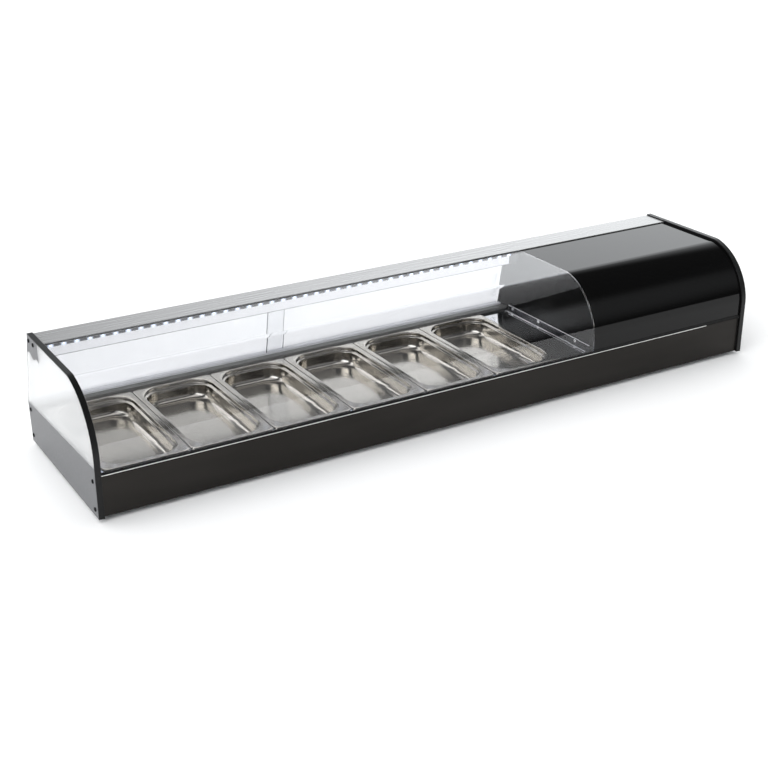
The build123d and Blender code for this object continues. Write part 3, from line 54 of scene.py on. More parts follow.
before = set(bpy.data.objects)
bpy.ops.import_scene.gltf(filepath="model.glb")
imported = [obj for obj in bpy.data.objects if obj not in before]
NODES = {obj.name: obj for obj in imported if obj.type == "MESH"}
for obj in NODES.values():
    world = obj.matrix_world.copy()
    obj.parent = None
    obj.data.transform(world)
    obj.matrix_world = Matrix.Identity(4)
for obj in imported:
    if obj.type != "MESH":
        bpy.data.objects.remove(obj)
CAD_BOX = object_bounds()
CASE_FRONT_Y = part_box("edge_trims")[0].y
MATERIALS = {}
MM = 0.001

# Outlines: when a corner counts as straight, and how much of a side an arc and its margin may take.
STRAIGHT = math.radians(172)
ARC_SHARE = 0.46
MARGIN_SHARE = 0.03
EDGE_SHARE = 0.45
# Eased ends: the extra loops on the end face and on the flanks, in edge radii.
END_LOOP = 1.15
FLANK_LOOP = 1.6
SHARP_ANGLE = math.radians(35)

# Pans: the flat beyond the floor's bend in floor radii, the floor's inner loops as shares of its outer
# one, the cut edge's share of the sheet, the least corner radius, and where the hem lies that is painted
# dark as shade between the pans.
FLOOR_RUN = 2.2
FLOOR_LOOPS = 0.01, 0.4
CUT_SHARE = 0.3
LEAST_CORNER = 2 * MM
HEM_DROP = 0.9 * MM
HEM_FOOT = 6 * MM
HEM_REACH = 2.2 * MM

# Lamps: their pitch, their bases, their lenses in shares, and the painted lamp light spilt on the board.
LAMP_PITCH = 27.2 * MM
LAMP_BASE = 0.7 * MM
LENS_RADIUS = 0.46
LENS_COLLAR = 0.35
LENS_OPENING = 0.96
BASE_GLOW = 0.8
BOARD_GLOW = 0.6
GLOW_REACH = 8.0 * MM
GLOW_CORE = 3.0 * MM

# The readout: its height as a share of the window's, and its bars in shares of that height.
DIGIT_HEIGHT = 0.52
DIGIT_WIDTH = 0.5
DIGIT_BAR = 0.09
DIGIT_GAP = 0.92
DIGIT_SUNK = 0.02 * MM
DIGIT_RISE = 0.08 * MM

# The grey film on the clear end: a slanting foot, a wavy head beside the profile, and its finish.
FILM_REAR_Z = 97 * MM
FILM_RISE = 17 * MM
FILM_WAVE = 46 * MM
FILM_WAVE_H = 4 * MM
FILM_HEAD = 40 * MM
FILM_GRAIN = (500.0, 500.0, 500.0)
FILM_DARK = 0.96
FILM_GLOSS = 0.34, 0.44
FILM_SHINE = 0.3

# Noise: the range it mostly keeps to, the height of its relief, the broad grain against the fine one,
# and the cloudy scratches of clear sheet.
NOISE_LOW = 0.35
NOISE_HIGH = 0.65
RELIEF = 0.2 * MM
BROAD_SHARE = 0.02
BROAD_LEAST = 3.0
HAZE_GRAIN = (9.0, 9.0, 9.0)
# Plastic: its darker tone, and its smoother and rougher gloss, as shares.
PLASTIC_DARK = 0.85
PLASTIC_GLOSS = 0.85, 1.2

# Zones of other finishes: painted shade on the door ends, the rail's track, painted highlights on the
# angle's edges, and painted lamp light on the profile's web.
END_BAND = 0.6 * MM
TRACK_Y = 157 * MM
EDGE_HIGHLIGHT = 0.8 * MM
SIDE_HIGHLIGHT = 0.45
WEB_PAINTED_LAMPLIGHT = 0.55
WEB_BEHIND = 0.3 * MM
WEB_ABOVE = 0.5 * MM
SATIN_METAL = 0.60
FAR = 1.0

# The room: each soft box's azimuth from +Y, elevation, inner and outer radius in degrees, and strength;
# then the elevations between which the boxes fade out at their top.
SOFT_BOXES = (
    (62, 14, 2, 58, 2.0),
    (-42, 22, 6, 42, 1.0),
    (-120, 26, 4, 32, 4.6),
    (150, 30, 6, 30, 0.50),
)
BOX_TOP = math.radians(33), math.radians(46)
COOL = (0.955, 0.98, 1.0)
WHITE = (1.0, 1.0, 1.0)
FLOOR_REACH = 30.0
FRAME_WIDTH = 36.0


def length(name, default, description):
    """A size in metres that a user may change."""
    return FloatProperty(name=name, default=default, description=description, unit="LENGTH", precision=5)


def angle(name, degrees, description):
    """An angle that a user may change."""
    return FloatProperty(name=name, default=math.radians(degrees), description=description, unit="ROTATION")


def share(name, default, description):
    """A number from nought to one."""
    return FloatProperty(name=name, default=default, min=0.0, max=1.0, description=description)


def colour(name, rgb, description):
    """A colour in linear red, green and blue."""
    return FloatVectorProperty(
        name=name, default=rgb, size=3, min=0.0, max=1.0, subtype="COLOR", description=description
    )


class CaseShape(bpy.types.PropertyGroup):
    """The line of the top and front, and the sheets that follow it."""

    shoulder_radius: length("Shoulder radius", 54 * MM, "Radius where the flat top turns down")
    shoulder_turn: angle("Shoulder turn", 14.5, "How far the shoulder turns")
    nose_radius: length("Nose radius", 141 * MM, "Radius of the long front curve")
    nose_turn: angle("Nose turn", 67.5, "How far the long front curve turns")
    chin_radius: length("Chin radius", 61 * MM, "Radius that ends in the upright front")
    setback: length("Setback", 5 * MM, "How far the glass lies inside the end panels' outline")
    edge: length("Edge rounding", 0.5 * MM, "Rounding of sheet edges")
    glass_sheet: length("Glass sheet", 5 * MM, "Thickness of the curved glass")
    glass_edge: length("Glass edge", 0.1 * MM, "Rounding of the curved glass's ends")
    cover_sheet: length("Cover sheet", 1.5 * MM, "Thickness of the black housing cover")
    trim: length("Edge trim", 2 * MM, "Thickness of the black strip round the end panels")
    trim_edge: length("Trim edge", 0.4 * MM, "Rounding of the black strip's ends")
    panel_edge: length("Panel edge", 0.8 * MM, "Rounding of the end panels' polished edges")
    panel_corner: length("Panel corner", 1.04 * MM, "Radius of the end panels' corners")
    back_lean: length("Back lean", 6 * MM, "How far the end panels' foot lies in front of their break")
    back_break: length("Back break", 99 * MM, "Height of the break in the end panels' rear edge")
    door_sheet: length("Door sheet", 4 * MM, "Thickness of the doors")
    door_lean: angle("Door lean", 10.5, "How far the doors lean forward")
    door_edge: length("Door edge", 0.7 * MM, "Rounding of the doors' long edges")
    lip_sheet: length("Lip sheet", 0.6 * MM, "Thickness of the bright lip")
    lip_bead: length("Lip bead", 1.9 * MM, "Height of the lip's rolled edge")
    lip_rear: length("Lip rear", 0.2 * MM, "Rounding of the lip's rear edge")
    lip_fold: length("Lip fold", 0.1 * MM, "Radius inside the lip's fold")
    lip_end: length("Lip end", 0.08 * MM, "Rounding of the lip's ends")
    lamp_corner: length("Lamp corner", 0.15 * MM, "Radius of the lamp bases' long edges")
    lamp_edge: length("Lamp edge", 0.1 * MM, "Rounding of the lamp bases' ends")
    arc_steps: IntProperty(
        name="Arc steps", default=28, min=6, description="Points on each arc of the front line"
    )


class PanShape(bpy.types.PropertyGroup):
    """A pressed food pan."""

    sheet: length("Sheet", 1.0 * MM, "Thickness of the steel")
    rim_width: length("Rim width", 11.5 * MM, "From the rim's outer edge to the mouth")
    rim_corner: length("Rim corner", 12 * MM, "Corner radius of the rim's outline")
    mouth_corner: length("Mouth corner", 46 * MM, "Corner radius of the mouth")
    rim_roll: length("Rim roll", 2.8 * MM, "Radius of the roll at the rim's outer edge")
    hem: length("Hem", 3.5 * MM, "Height of the rim's turned-down edge")
    mouth_roll: length("Mouth roll", 2.4 * MM, "Radius where the rim turns down into the wall")
    mouth_lean: length("Mouth lean", 1 * MM, "How far the wall leans in above the stacking step")
    step_depth: length("Step depth", 8 * MM, "Depth of the stacking step below the rim")
    step_width: length("Step width", 4.5 * MM, "How far the stacking step goes in")
    step_drop: length("Step drop", 2.0 * MM, "How far the stacking step slopes down")
    shelf_bend: length("Shelf bend", 1.8 * MM, "Radius of both bends of the stacking step")
    taper: length("Taper", 3 * MM, "How far the wall leans in below the step")
    floor_radius: length("Floor radius", 13 * MM, "Radius between wall and floor")
    corner_steps: IntProperty(name="Corner steps", default=22, min=4, description="Points on each corner")


class Finishes(bpy.types.PropertyGroup):
    """Colours and gloss of the visible surfaces."""

    pan_steel: colour("Pan steel", (0.485, 0.458, 0.412), "Pressed stainless steel of the pans")
    deck_steel: colour("Deck steel", (0.60, 0.60, 0.60), "Stainless steel of the deck")
    profile: colour("Profile", (0.375, 0.375, 0.375), "Satin aluminium of the top profile")
    rail: colour("Rail", (0.36, 0.365, 0.35), "Aluminium of the door rail")
    plate: colour("Side plate", (0.115, 0.116, 0.121), "Grey film and plate on the end panel's foot")
    # The track colour is also the colour of the painted lamp light on the profile's web.
    track: colour("Door track", (0.90, 0.90, 0.91), "The pale rear half of the rail and the profile's web")
    glass: colour("Glass", (0.80, 0.805, 0.825), "Tint of the curved glass")
    door: colour("Doors", (0.955, 0.96, 0.97), "Tint of the clear doors")
    clear: colour("Clear panel", (0.77, 0.775, 0.78), "Tint of the clear end panel")
    clearness: share("Clearness", 0.72, "How clear the end panel is: the rest is a pale haze")
    black: colour("Black gloss", (0.003, 0.003, 0.003), "The housing cover and the partition")
    panel: colour("Front panel", (0.030, 0.028, 0.026), "The brushed near-black front panel")
    trim: colour("Black trim", (0.006, 0.006, 0.006), "Edge trim, gaskets and feet")
    lamp: colour("Lamp light", (0.72, 0.82, 1.0), "Colour of the lamps")
    lamp_strength: FloatProperty(name="Lamp strength", default=2.5, description="Brightness of the lamps")


class Studio(bpy.types.PropertyGroup):
    """The camera, the floor and the soft light."""

    camera_at: FloatVectorProperty(
        name="Camera", default=(-1.49584, -2.38003, 1.26088), subtype="TRANSLATION",
        description="Eye point",
    )
    camera_aim: FloatVectorProperty(
        name="Aim", default=(-0.18096, -0.17909, 0.13525), subtype="TRANSLATION",
        description="Point looked at",
    )
    lens: FloatProperty(
        name="Lens", default=63.56, unit="CAMERA", description="Focal length on a 36 mm frame"
    )
    floor: colour("Floor", (0.90, 0.90, 0.90), "The pale floor")
    sky: FloatProperty(name="Room", default=0.05, description="Brightness of the room overhead")
    sun: FloatProperty(
        name="Overhead light", default=3.0, description="Strength of the wide overhead light"
    )
    sun_size: angle("Overhead size", 110, "How wide the overhead light is")
    sun_pitch: angle("Overhead pitch", -14, "How far the overhead light leans about X")
    sun_roll: angle("Overhead roll", -16, "How far the overhead light leans about Y")


def arc(start, heading, radius, turn, steps):
    """Points on an arc: start + radius * (the normal at the start - the normal at each angle)."""
    bend = np.linspace(0.0, turn, steps + 1)[1:]
    h = heading + bend
    y = start[0] + radius * (np.sin(heading) - np.sin(h))
    z = start[1] - radius * (np.cos(heading) - np.cos(h))
    return np.stack([y, z], 1)


def front_line(shape, inset, back_y, foot_z):
    """The case's line in Y and Z, moved in by inset, from its back edge forward and down to its foot.

    A flat top at the case's height, then three arcs that turn 90 degrees in all, then upright to the
    foot. Moving the line inwards takes the inset off every radius.
    """
    top_z = CAD_BOX[1].z - inset
    turns = (shape.shoulder_turn, shape.nose_turn, math.pi / 2 - shape.shoulder_turn - shape.nose_turn)
    radii = (shape.shoulder_radius, shape.nose_radius, shape.chin_radius)
    headings = np.concatenate([[0.0], np.cumsum(turns)])
    sines = np.sin(headings)
    reach = float(np.sum(np.array(radii) * np.diff(sines)))
    start = (CASE_FRONT_Y + reach, top_z)
    points = [np.array([[back_y, top_z], start])]
    for heading, radius, turn in zip(headings, radii, turns):
        points.append(arc(points[-1][-1], heading, radius - inset, turn, shape.arc_steps))
    points.append(np.array([[points[-1][-1][0], foot_z]]))
    return np.concatenate(points)


def bent(points, radii, closed=True, steps=6, margin=0.3 * MM):
    """A line through corners, each turned on an arc that touches both of its sides.

    An arc's centre lies on the corner's bisector, and its points swing evenly from one touching point to
    the other. A second point stands just outside each end of an arc, so that flats keep flat normals.
    """
    points = np.asarray(points, float)
    radii = np.broadcast_to(radii, len(points))
    back, ahead = np.roll(points, 1, 0) - points, np.roll(points, -1, 0) - points
    back_side, ahead_side = np.linalg.norm(back, axis=1), np.linalg.norm(ahead, axis=1)
    back, ahead = back / back_side[:, None], ahead / ahead_side[:, None]
    opening = np.arccos(np.clip(np.sum(back * ahead, 1), -1, 1))
    out = []
    for i, corner in enumerate(points):
        at_end = not closed and i in (0, len(points) - 1)
        if at_end or radii[i] <= 0 or opening[i] > STRAIGHT:
            out.append(corner[None])
            continue
        half = opening[i] / 2
        shorter = min(back_side[i], ahead_side[i])
        cut = min(radii[i] / math.tan(half), ARC_SHARE * shorter)
        radius = cut * math.tan(half)
        first, last = corner + back[i] * cut, corner + ahead[i] * cut
        bisector = back[i] + ahead[i]
        centre = corner + bisector / np.linalg.norm(bisector) * radius / math.sin(half)
        swing = math.pi - opening[i]
        t = np.linspace(0, 1, steps + 1)[:, None]
        arc_points = np.sin((1 - t) * swing) * (first - centre) + np.sin(t * swing) * (last - centre)
        spare = min(margin, MARGIN_SHARE * shorter)
        before, after = first + back[i] * spare, last + ahead[i] * spare
        out.append(np.concatenate([before[None], centre + arc_points / math.sin(swing), after[None]]))
    return np.concatenate(out)


def band_loop(shape, inset, thickness, back_y, foot_z):
    """The closed outline of a sheet that follows the front line, its outer face at the inset."""
    outer = front_line(shape, inset, back_y, foot_z)
    inner = front_line(shape, inset + thickness, back_y, foot_z)
    return bent(np.concatenate([outer, inner[::-1]]), min(shape.edge, thickness * EDGE_SHARE))


def anticlockwise(loop):
    """The loop turned so that its outward normal is (dz, -dy)."""
    y, z = loop[:, 0], loop[:, 1]
    area = np.sum(y * np.roll(z, -1) - np.roll(y, -1) * z)
    return loop if area > 0 else loop[::-1]


def loop_normals(loop):
    """Outward unit normals of a closed loop that runs anticlockwise."""
    edge = np.roll(loop, -1, 0) - np.roll(loop, 1, 0)
    edge /= np.maximum(np.linalg.norm(edge, axis=1, keepdims=True), 1e-12)
    return np.stack([edge[:, 1], -edge[:, 0]], 1)


def shell(loops):
    """Vertices and faces of a closed body: quads from each loop of points to the next, and two caps."""
    count, around = loops.shape[:2]
    index = np.arange(count * around).reshape(count, around)
    here, there = index[:-1], index[1:]
    faces = np.stack([here, there, np.roll(there, -1, 1), np.roll(here, -1, 1)], -1).reshape(-1, 4).tolist()
    faces.append(index[0].tolist())
    faces.append(index[-1, ::-1].tolist())
    return loops.reshape(-1, 3), faces


def along_x(loop, x0, x1, edge):
    """A solid bar: a Y-Z loop carried along X, with both ends eased by a quarter round.

    At an angle t of the quarter round, the loop is drawn in by edge * (1 - sin t) and lies
    edge * (1 - cos t) inside the end. One more loop each side of the round keeps end and flanks flat.
    """
    loop = anticlockwise(loop)
    t = np.linspace(0, math.pi / 2, 5)
    draw = np.concatenate([[edge * END_LOOP], edge * (1 - np.sin(t)), [0.0]])
    depth = np.concatenate([[0.0], edge * (1 - np.cos(t)), [edge * FLANK_LOOP]])
    xs = np.concatenate([x0 + depth, (x1 - depth)[::-1]])
    draws = np.concatenate([draw, draw[::-1]])
    yz = loop[None] - loop_normals(loop)[None] * draws[:, None, None]
    rows = np.concatenate([np.broadcast_to(xs[:, None, None], yz.shape[:2] + (1,)), yz], -1)
    return shell(rows[:, ::-1])


def add_piece(name, shells, material, body, replaces=(), smooth=True, second=None, where=None):
    """One mesh object from several shells, riding on a body.

    It may have a second finish, on the faces whose middles pass a test.
    """
    points, faces, start = [], [], 0
    for verts, quads in shells:
        points.append(verts)
        faces += [[i + start for i in face] for face in quads]
        start += len(verts)
    mesh = bpy.data.meshes.new(name)
    mesh.from_pydata(np.concatenate(points).tolist(), [], faces)
    mesh.validate()
    if smooth:
        mesh.shade_smooth()
        mesh.set_sharp_from_angle(angle=SHARP_ANGLE)
    piece = bpy.data.objects.new(name, mesh)
    bpy.context.scene.collection.objects.link(piece)
    mesh.materials.append(material)
    if second:
        mesh.materials.append(second)
        middles = np.empty(len(mesh.polygons) * 3)
        mesh.polygons.foreach_get("center", middles)
        mesh.polygons.foreach_set("material_index", where(middles.reshape(-1, 3)).astype(int))
    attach(piece, body)
    if replaces:
        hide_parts(*replaces)
    return piece


def at_the_ends(middles):
    """True for faces in a thin band at either end in X: the doors' ends, which get painted shade."""
    x = middles[:, 0]
    return (x < x.min() + END_BAND) | (x > x.max() - END_BAND)


def on_the_hem(middles):
    """True for faces on a pan's turned-down outer edge, which get painted shade: near its outline, and
    below the rim's top.
    """
    low, high = middles.min(0), middles.max(0)
    reach = np.minimum(middles - low, high - middles)[:, :2].min(1)
    drop = high[2] - middles[:, 2]
    return (reach < HEM_REACH) & (drop > HEM_DROP) & (drop < HEM_FOOT)


def rounded_rectangles(widths, lengths, radii, steps, margin=1 * MM):
    """Rounded rectangles about the origin, one per row: quarter circles joined by straight runs.

    A corner's points are its centre plus radius * (cos t, sin t), with one point more on each straight.
    """
    t = np.linspace(0, math.pi / 2, steps + 1)
    r = radii[:, None]
    first = np.stack([r, np.full_like(r, -margin)], -1)
    quarter = np.stack([r * np.cos(t), r * np.sin(t)], -1)
    quarter = np.concatenate([first, quarter, first[..., ::-1]], 1)
    out = []
    for k, (sx, sy) in enumerate(((1, 1), (-1, 1), (-1, -1), (1, -1))):
        c, s = round(math.cos(math.pi / 2 * k)), round(math.sin(math.pi / 2 * k))
        spun = quarter @ np.array([[c, s], [-s, c]])
        centre = np.stack([sx * (widths / 2 - radii), sy * (lengths / 2 - radii)], -1)
        out.append(spun + centre[:, None])
    return np.concatenate(out, 1)


def pan_line(pan, depth):
    """Inset and height round a pan's sheet: floor, wall, shelf, mouth, rim, and back along its underside.

    The underside has the same corners, moved by the sheet's thickness out and down.
    """
    t = pan.sheet
    shelf = pan.rim_width + pan.mouth_lean
    shoulder = shelf + pan.step_width
    foot = shoulder + pan.taper
    start = foot + FLOOR_RUN * pan.floor_radius
    inside = np.array([
        (start, t - depth),
        (foot, t - depth),
        (shoulder, -pan.step_depth - pan.step_drop),
        (shelf, -pan.step_depth),
        (pan.rim_width, 0.0),
    ])
    bends = np.array([0.0, pan.floor_radius, pan.shelf_bend, pan.shelf_bend, pan.mouth_roll])
    rim = np.array([(0.0, 0.0), (0.0, -pan.hem), (t, -pan.hem), (t, -t)])
    rim_bends = np.array([pan.rim_roll, t * CUT_SHARE, t * CUT_SHARE, pan.rim_roll - t])
    thicker = t * np.array([0.0, 1.0, -1.0, 1.0, -1.0])
    corners = np.concatenate([inside, rim, inside[::-1] - t])
    return bent(corners, np.concatenate([bends, rim_bends, (bends + thicker)[::-1]]), closed=False, steps=7)


def pan_surface(pan, low, high):
    """A pan's closed sheet: rounded rectangles stacked along its line.

    Each point of the line gives an inset and a height. The outline there is a rounded rectangle, smaller
    by the inset. Across the rim its corner radius goes from the rim's to the mouth's, and further in it
    shrinks with the inset. Two smaller loops at either end of the line carry the floor to its middle.
    """
    inset, height = pan_line(pan, high.z - low.z).T
    across = np.clip(inset / pan.rim_width, 0.0, 1.0)
    radii = pan.rim_corner + (pan.mouth_corner - pan.rim_corner) * across
    radii -= np.maximum(inset - pan.rim_width, 0.0)
    radii = np.maximum(radii, LEAST_CORNER)
    widths, lengths = high.x - low.x - 2 * inset, high.y - low.y - 2 * inset
    loops = rounded_rectangles(widths, lengths, radii, pan.corner_steps)
    rows = np.concatenate([loops, np.broadcast_to(height[:, None, None], loops.shape[:2] + (1,))], -1)
    shrink = np.array(FLOOR_LOOPS)[:, None, None] * [1, 1, 0] + [0, 0, 1]
    rows = np.concatenate([rows[:1] * shrink, rows, rows[-1:] * shrink[::-1]])
    middle = [(low.x + high.x) / 2, (low.y + high.y) / 2, high.z]
    return shell(rows + middle)


def nodes_of(name, metallic, roughness, base):
    """A new material, its node tree and its Principled shader."""
    material = bpy.data.materials.new(name)
    material.use_nodes = True
    tree = material.node_tree
    shader = tree.nodes["Principled BSDF"]
    shader.inputs["Metallic"].default_value = metallic
    shader.inputs["Roughness"].default_value = roughness
    shader.inputs["Base Color"].default_value = (*base, 1.0)
    return material, tree, shader


def math_node(tree, operation, first, second=None, third=None):
    """One Math node: each input is a socket or a number."""
    node = tree.nodes.new("ShaderNodeMath")
    node.operation = operation
    for slot, value in enumerate((first, second, third)):
        if value is None:
            continue
        if isinstance(value, (int, float)):
            node.inputs[slot].default_value = value
        else:
            tree.links.new(value, node.inputs[slot])
    return node.outputs["Value"]


def object_point(tree, scale):
    """Object coordinates times a scale."""
    place = tree.nodes.new("ShaderNodeTexCoord")
    mapping = tree.nodes.new("ShaderNodeMapping")
    mapping.inputs["Scale"].default_value = scale
    tree.links.new(place.outputs["Object"], mapping.inputs["Vector"])
    return mapping.outputs["Vector"]


def object_axes(tree):
    """Object X, Y and Z, each by its letter."""
    place = tree.nodes.new("ShaderNodeTexCoord")
    split = tree.nodes.new("ShaderNodeSeparateXYZ")
    tree.links.new(place.outputs["Object"], split.inputs["Vector"])
    return split.outputs


def noise(tree, scale, detail=3.0):
    """Noise on Object coordinates, stretched by the scale."""
    texture = tree.nodes.new("ShaderNodeTexNoise")
    texture.inputs["Scale"].default_value = 1.0
    texture.inputs["Detail"].default_value = detail
    tree.links.new(object_point(tree, scale), texture.inputs["Vector"])
    return texture.outputs["Fac"]


def between(tree, value, low, high):
    """A noise's usual range carried to another one."""
    ranger = tree.nodes.new("ShaderNodeMapRange")
    ranger.inputs["From Min"].default_value = NOISE_LOW
    ranger.inputs["From Max"].default_value = NOISE_HIGH
    ranger.inputs["To Min"].default_value = low
    ranger.inputs["To Max"].default_value = high
    tree.links.new(value, ranger.inputs["Value"])
    return ranger.outputs["Result"]


def smooth_step(tree, value, from_low, from_high, to_high):
    """A value that rises smoothly from nought to a height."""
    ranger = tree.nodes.new("ShaderNodeMapRange")
    ranger.interpolation_type = "SMOOTHSTEP"
    ranger.inputs["From Min"].default_value = from_low
    ranger.inputs["From Max"].default_value = from_high
    ranger.inputs["To Max"].default_value = to_high
    tree.links.new(value, ranger.inputs["Value"])
    return ranger.outputs["Result"]


def mixed_colour(tree, factor, first, second):
    """A colour between two, by a factor."""
    mixer = tree.nodes.new("ShaderNodeMix")
    mixer.data_type = "RGBA"
    mixer.inputs["A"].default_value = (*first, 1.0)
    mixer.inputs["B"].default_value = (*second, 1.0)
    tree.links.new(factor, mixer.inputs["Factor"])
    return mixer.outputs["Result"]


def mixed_shader(material, mask, first, second):
    """Shows the first shader where the mask is nought, and the second where it is one."""
    tree = material.node_tree
    mix = tree.nodes.new("ShaderNodeMixShader")
    tree.links.new(mask, mix.inputs["Fac"])
    tree.links.new(first, mix.inputs[1])
    tree.links.new(second, mix.inputs[2])
    tree.links.new(mix.outputs["Shader"], tree.nodes["Material Output"].inputs["Surface"])


def bump(tree, shader, height, strength):
    """Small relief on a shader's normal."""
    node = tree.nodes.new("ShaderNodeBump")
    node.inputs["Strength"].default_value = strength
    node.inputs["Distance"].default_value = RELIEF
    tree.links.new(height, node.inputs["Height"])
    tree.links.new(node.outputs["Normal"], shader.inputs["Normal"])


def brushed(name, base, roughness, grain, spread=0.08, tint=0.06, relief=0.08):
    """Metal with a brushed grain: fine noise along the brushing turns the gloss, broad noise the tone."""
    material, tree, shader = nodes_of(name, 1.0, roughness, base)
    fine = noise(tree, grain, detail=4.0)
    broad = noise(tree, tuple(scale * BROAD_SHARE + BROAD_LEAST for scale in grain), detail=2.0)
    tone = between(tree, broad, 0.0, 1.0)
    dark = tuple(c * (1 - tint) for c in base)
    light = tuple(min(1.0, c * (1 + tint)) for c in base)
    tree.links.new(mixed_colour(tree, tone, dark, light), shader.inputs["Base Color"])
    tree.links.new(between(tree, fine, roughness - spread, roughness + spread), shader.inputs["Roughness"])
    bump(tree, shader, fine, relief)
    return material


def plastic(name, base, roughness, grain=900.0, relief=0.05, shine=0.5):
    """Moulded plastic or paint with a faint uneven gloss."""
    material, tree, shader = nodes_of(name, 0.0, roughness, base)
    fine = noise(tree, (grain,) * 3)
    smooth, rough = (roughness * part for part in PLASTIC_GLOSS)
    tree.links.new(between(tree, fine, smooth, rough), shader.inputs["Roughness"])
    dark = tuple(c * PLASTIC_DARK for c in base)
    tone = between(tree, fine, 0.0, 1.0)
    tree.links.new(mixed_colour(tree, tone, dark, base), shader.inputs["Base Color"])
    shader.inputs["Specular IOR Level"].default_value = shine
    bump(tree, shader, fine, relief)
    return material


def see_through(name, tint, haze=0.0, ior=1.49, clearness=1.0):
    """Clear sheet: glass for what is seen, and open to the lamps, with a faint haze of fine scratches."""
    material, tree, shader = nodes_of(name, 0.0, 0.0, tint)
    shader.inputs["Transmission Weight"].default_value = clearness
    shader.inputs["IOR"].default_value = ior
    if haze:
        cloud = noise(tree, HAZE_GRAIN, detail=4.0)
        tree.links.new(between(tree, cloud, 0.0, haze), shader.inputs["Roughness"])
    path = tree.nodes.new("ShaderNodeLightPath")
    clear = tree.nodes.new("ShaderNodeBsdfTransparent")
    clear.inputs["Color"].default_value = (*tint, 1.0)
    mixed_shader(material, path.outputs["Is Shadow Ray"], shader.outputs["BSDF"], clear.outputs["BSDF"])
    return material


def glowing(name, base, strength, roughness=0.25):
    """A surface that gives its own light, such as a lamp's lens."""
    material, tree, shader = nodes_of(name, 0.0, roughness, base)
    shader.inputs["Emission Color"].default_value = (*base, 1.0)
    shader.inputs["Emission Strength"].default_value = strength
    return material


def film_zone(tree):
    """One on the grey film of the clear end, nought elsewhere.

    The film lies below a line that rises evenly towards the front, and, behind the profile's front,
    above a sine wave along Y.
    """
    axes = object_axes(tree)
    low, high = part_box("side_plates")
    profile_low, profile_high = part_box("top_profile")
    slope = FILM_RISE / (high.y - low.y)
    foot = math_node(tree, "MULTIPLY_ADD", axes["Y"], -slope, FILM_REAR_Z + slope * high.y)
    below = math_node(tree, "LESS_THAN", axes["Z"], foot)
    phase = math_node(tree, "MULTIPLY", axes["Y"], 2 * math.pi / FILM_WAVE)
    wave = math_node(tree, "SINE", phase)
    head = math_node(tree, "MULTIPLY_ADD", wave, FILM_WAVE_H, profile_high.z - FILM_HEAD)
    above = math_node(tree, "GREATER_THAN", axes["Z"], head)
    behind = math_node(tree, "GREATER_THAN", axes["Y"], profile_low.y)
    return math_node(tree, "MAXIMUM", below, math_node(tree, "MULTIPLY", above, behind))


def make_materials(look):
    """Every finish of the case, by name.

    A grain gives the noise's scale on X, Y and Z: low along the brushing, and high across it.
    """
    along = (8.0, 700.0, 700.0)
    across = (700.0, 8.0, 700.0)
    upright = (500.0, 500.0, 6.0)
    cast = (60.0, 60.0, 60.0)
    MATERIALS.update(
        pan_steel=brushed("pan steel", look.pan_steel, 0.15, across, spread=0.008, tint=0.01, relief=0.0),
        # Painted shade: the hem's dark colour stands for the shade in the gap between pans.
        pan_hem=brushed("pan hem", (0.07, 0.067, 0.062), 0.30, across, spread=0.02, tint=0.02, relief=0.0),
        deck_steel=brushed("deck steel", look.deck_steel, 0.07, along, spread=0.01, tint=0.02, relief=0.0),
        well_steel=brushed("well steel", look.deck_steel, 0.32, along, spread=0.05),
        bright_steel=brushed("bright steel", (0.80, 0.80, 0.80), 0.28, along, spread=0.03, relief=0.01),
        angle=angle_finish(across),
        lip=brushed("lip steel", (0.86, 0.86, 0.84), 0.28, along, spread=0.04, relief=0.02),
        profile=profile_finish(look, along),
        fan_blades=brushed("fan aluminium", look.profile, 0.30, cast, spread=0.03, tint=0.04),
        rail=rail_finish(look, along),
        zinc=brushed("zinc sheet", (0.52, 0.53, 0.54), 0.38, cast, tint=0.14),
        fins=brushed("condenser fins", (0.46, 0.47, 0.48), 0.35, upright),
        side_plate=plastic("grey side plate", look.plate, 0.40, grain=500.0),
        front_panel=brushed(
            "brushed black panel", look.panel, 0.36, along, spread=0.05, tint=0.1, relief=0.04
        ),
        glass=see_through("curved glass", look.glass, ior=1.42),
        door=see_through("door acrylic", look.door, ior=1.49),
        # Painted shade: the doors' ends are near black, for the dark lines that a clear sheet's edges show.
        door_edge=plastic("door end painted shade", (0.015, 0.017, 0.02), 0.6, shine=0.1),
        end_panel=end_panel_finish(look),
        black_gloss=plastic("black gloss", look.black, 0.05, grain=300.0, relief=0.004, shine=0.22),
        partition=plastic("partition black", look.black, 0.12, grain=300.0, relief=0.0, shine=0.06),
        black_trim=plastic("black trim", look.trim, 0.35, shine=0.25),
        black_case=plastic("black moulding", look.trim, 0.45, grain=1400.0, relief=0.15),
        rubber=plastic("black rubber", (0.012, 0.012, 0.012), 0.75, relief=0.2, shine=0.2),
        enamel=plastic("black enamel", (0.010, 0.010, 0.010), 0.30, grain=300.0),
        screw_black=plastic("blackened screw", (0.003, 0.003, 0.003), 0.6, grain=400.0, shine=0.08),
        copper=brushed("copper pipe", (0.72, 0.36, 0.22), 0.30, cast, tint=0.2),
        foam=plastic("insulating foam", (0.72, 0.62, 0.40), 0.85, grain=400.0, relief=0.5),
        lamp_board=lit_board(look),
        lamp_base=glowing("lamp base", look.lamp, look.lamp_strength * BASE_GLOW),
        lamp=glowing("lamp lens", look.lamp, look.lamp_strength),
        readout=glowing("readout", (0.9, 0.06, 0.03), 3.0),
        dark_window=plastic("dark window", (0.012, 0.004, 0.004), 0.08, relief=0.0),
        key=plastic("grey key", (0.22, 0.23, 0.24), 0.55),
        rocker=plastic("green rocker", (0.02, 0.22, 0.06), 0.18, grain=200.0, relief=0.02),
        grip=see_through("clear grip", (0.97, 0.975, 0.98), haze=0.02, ior=1.12),
    )


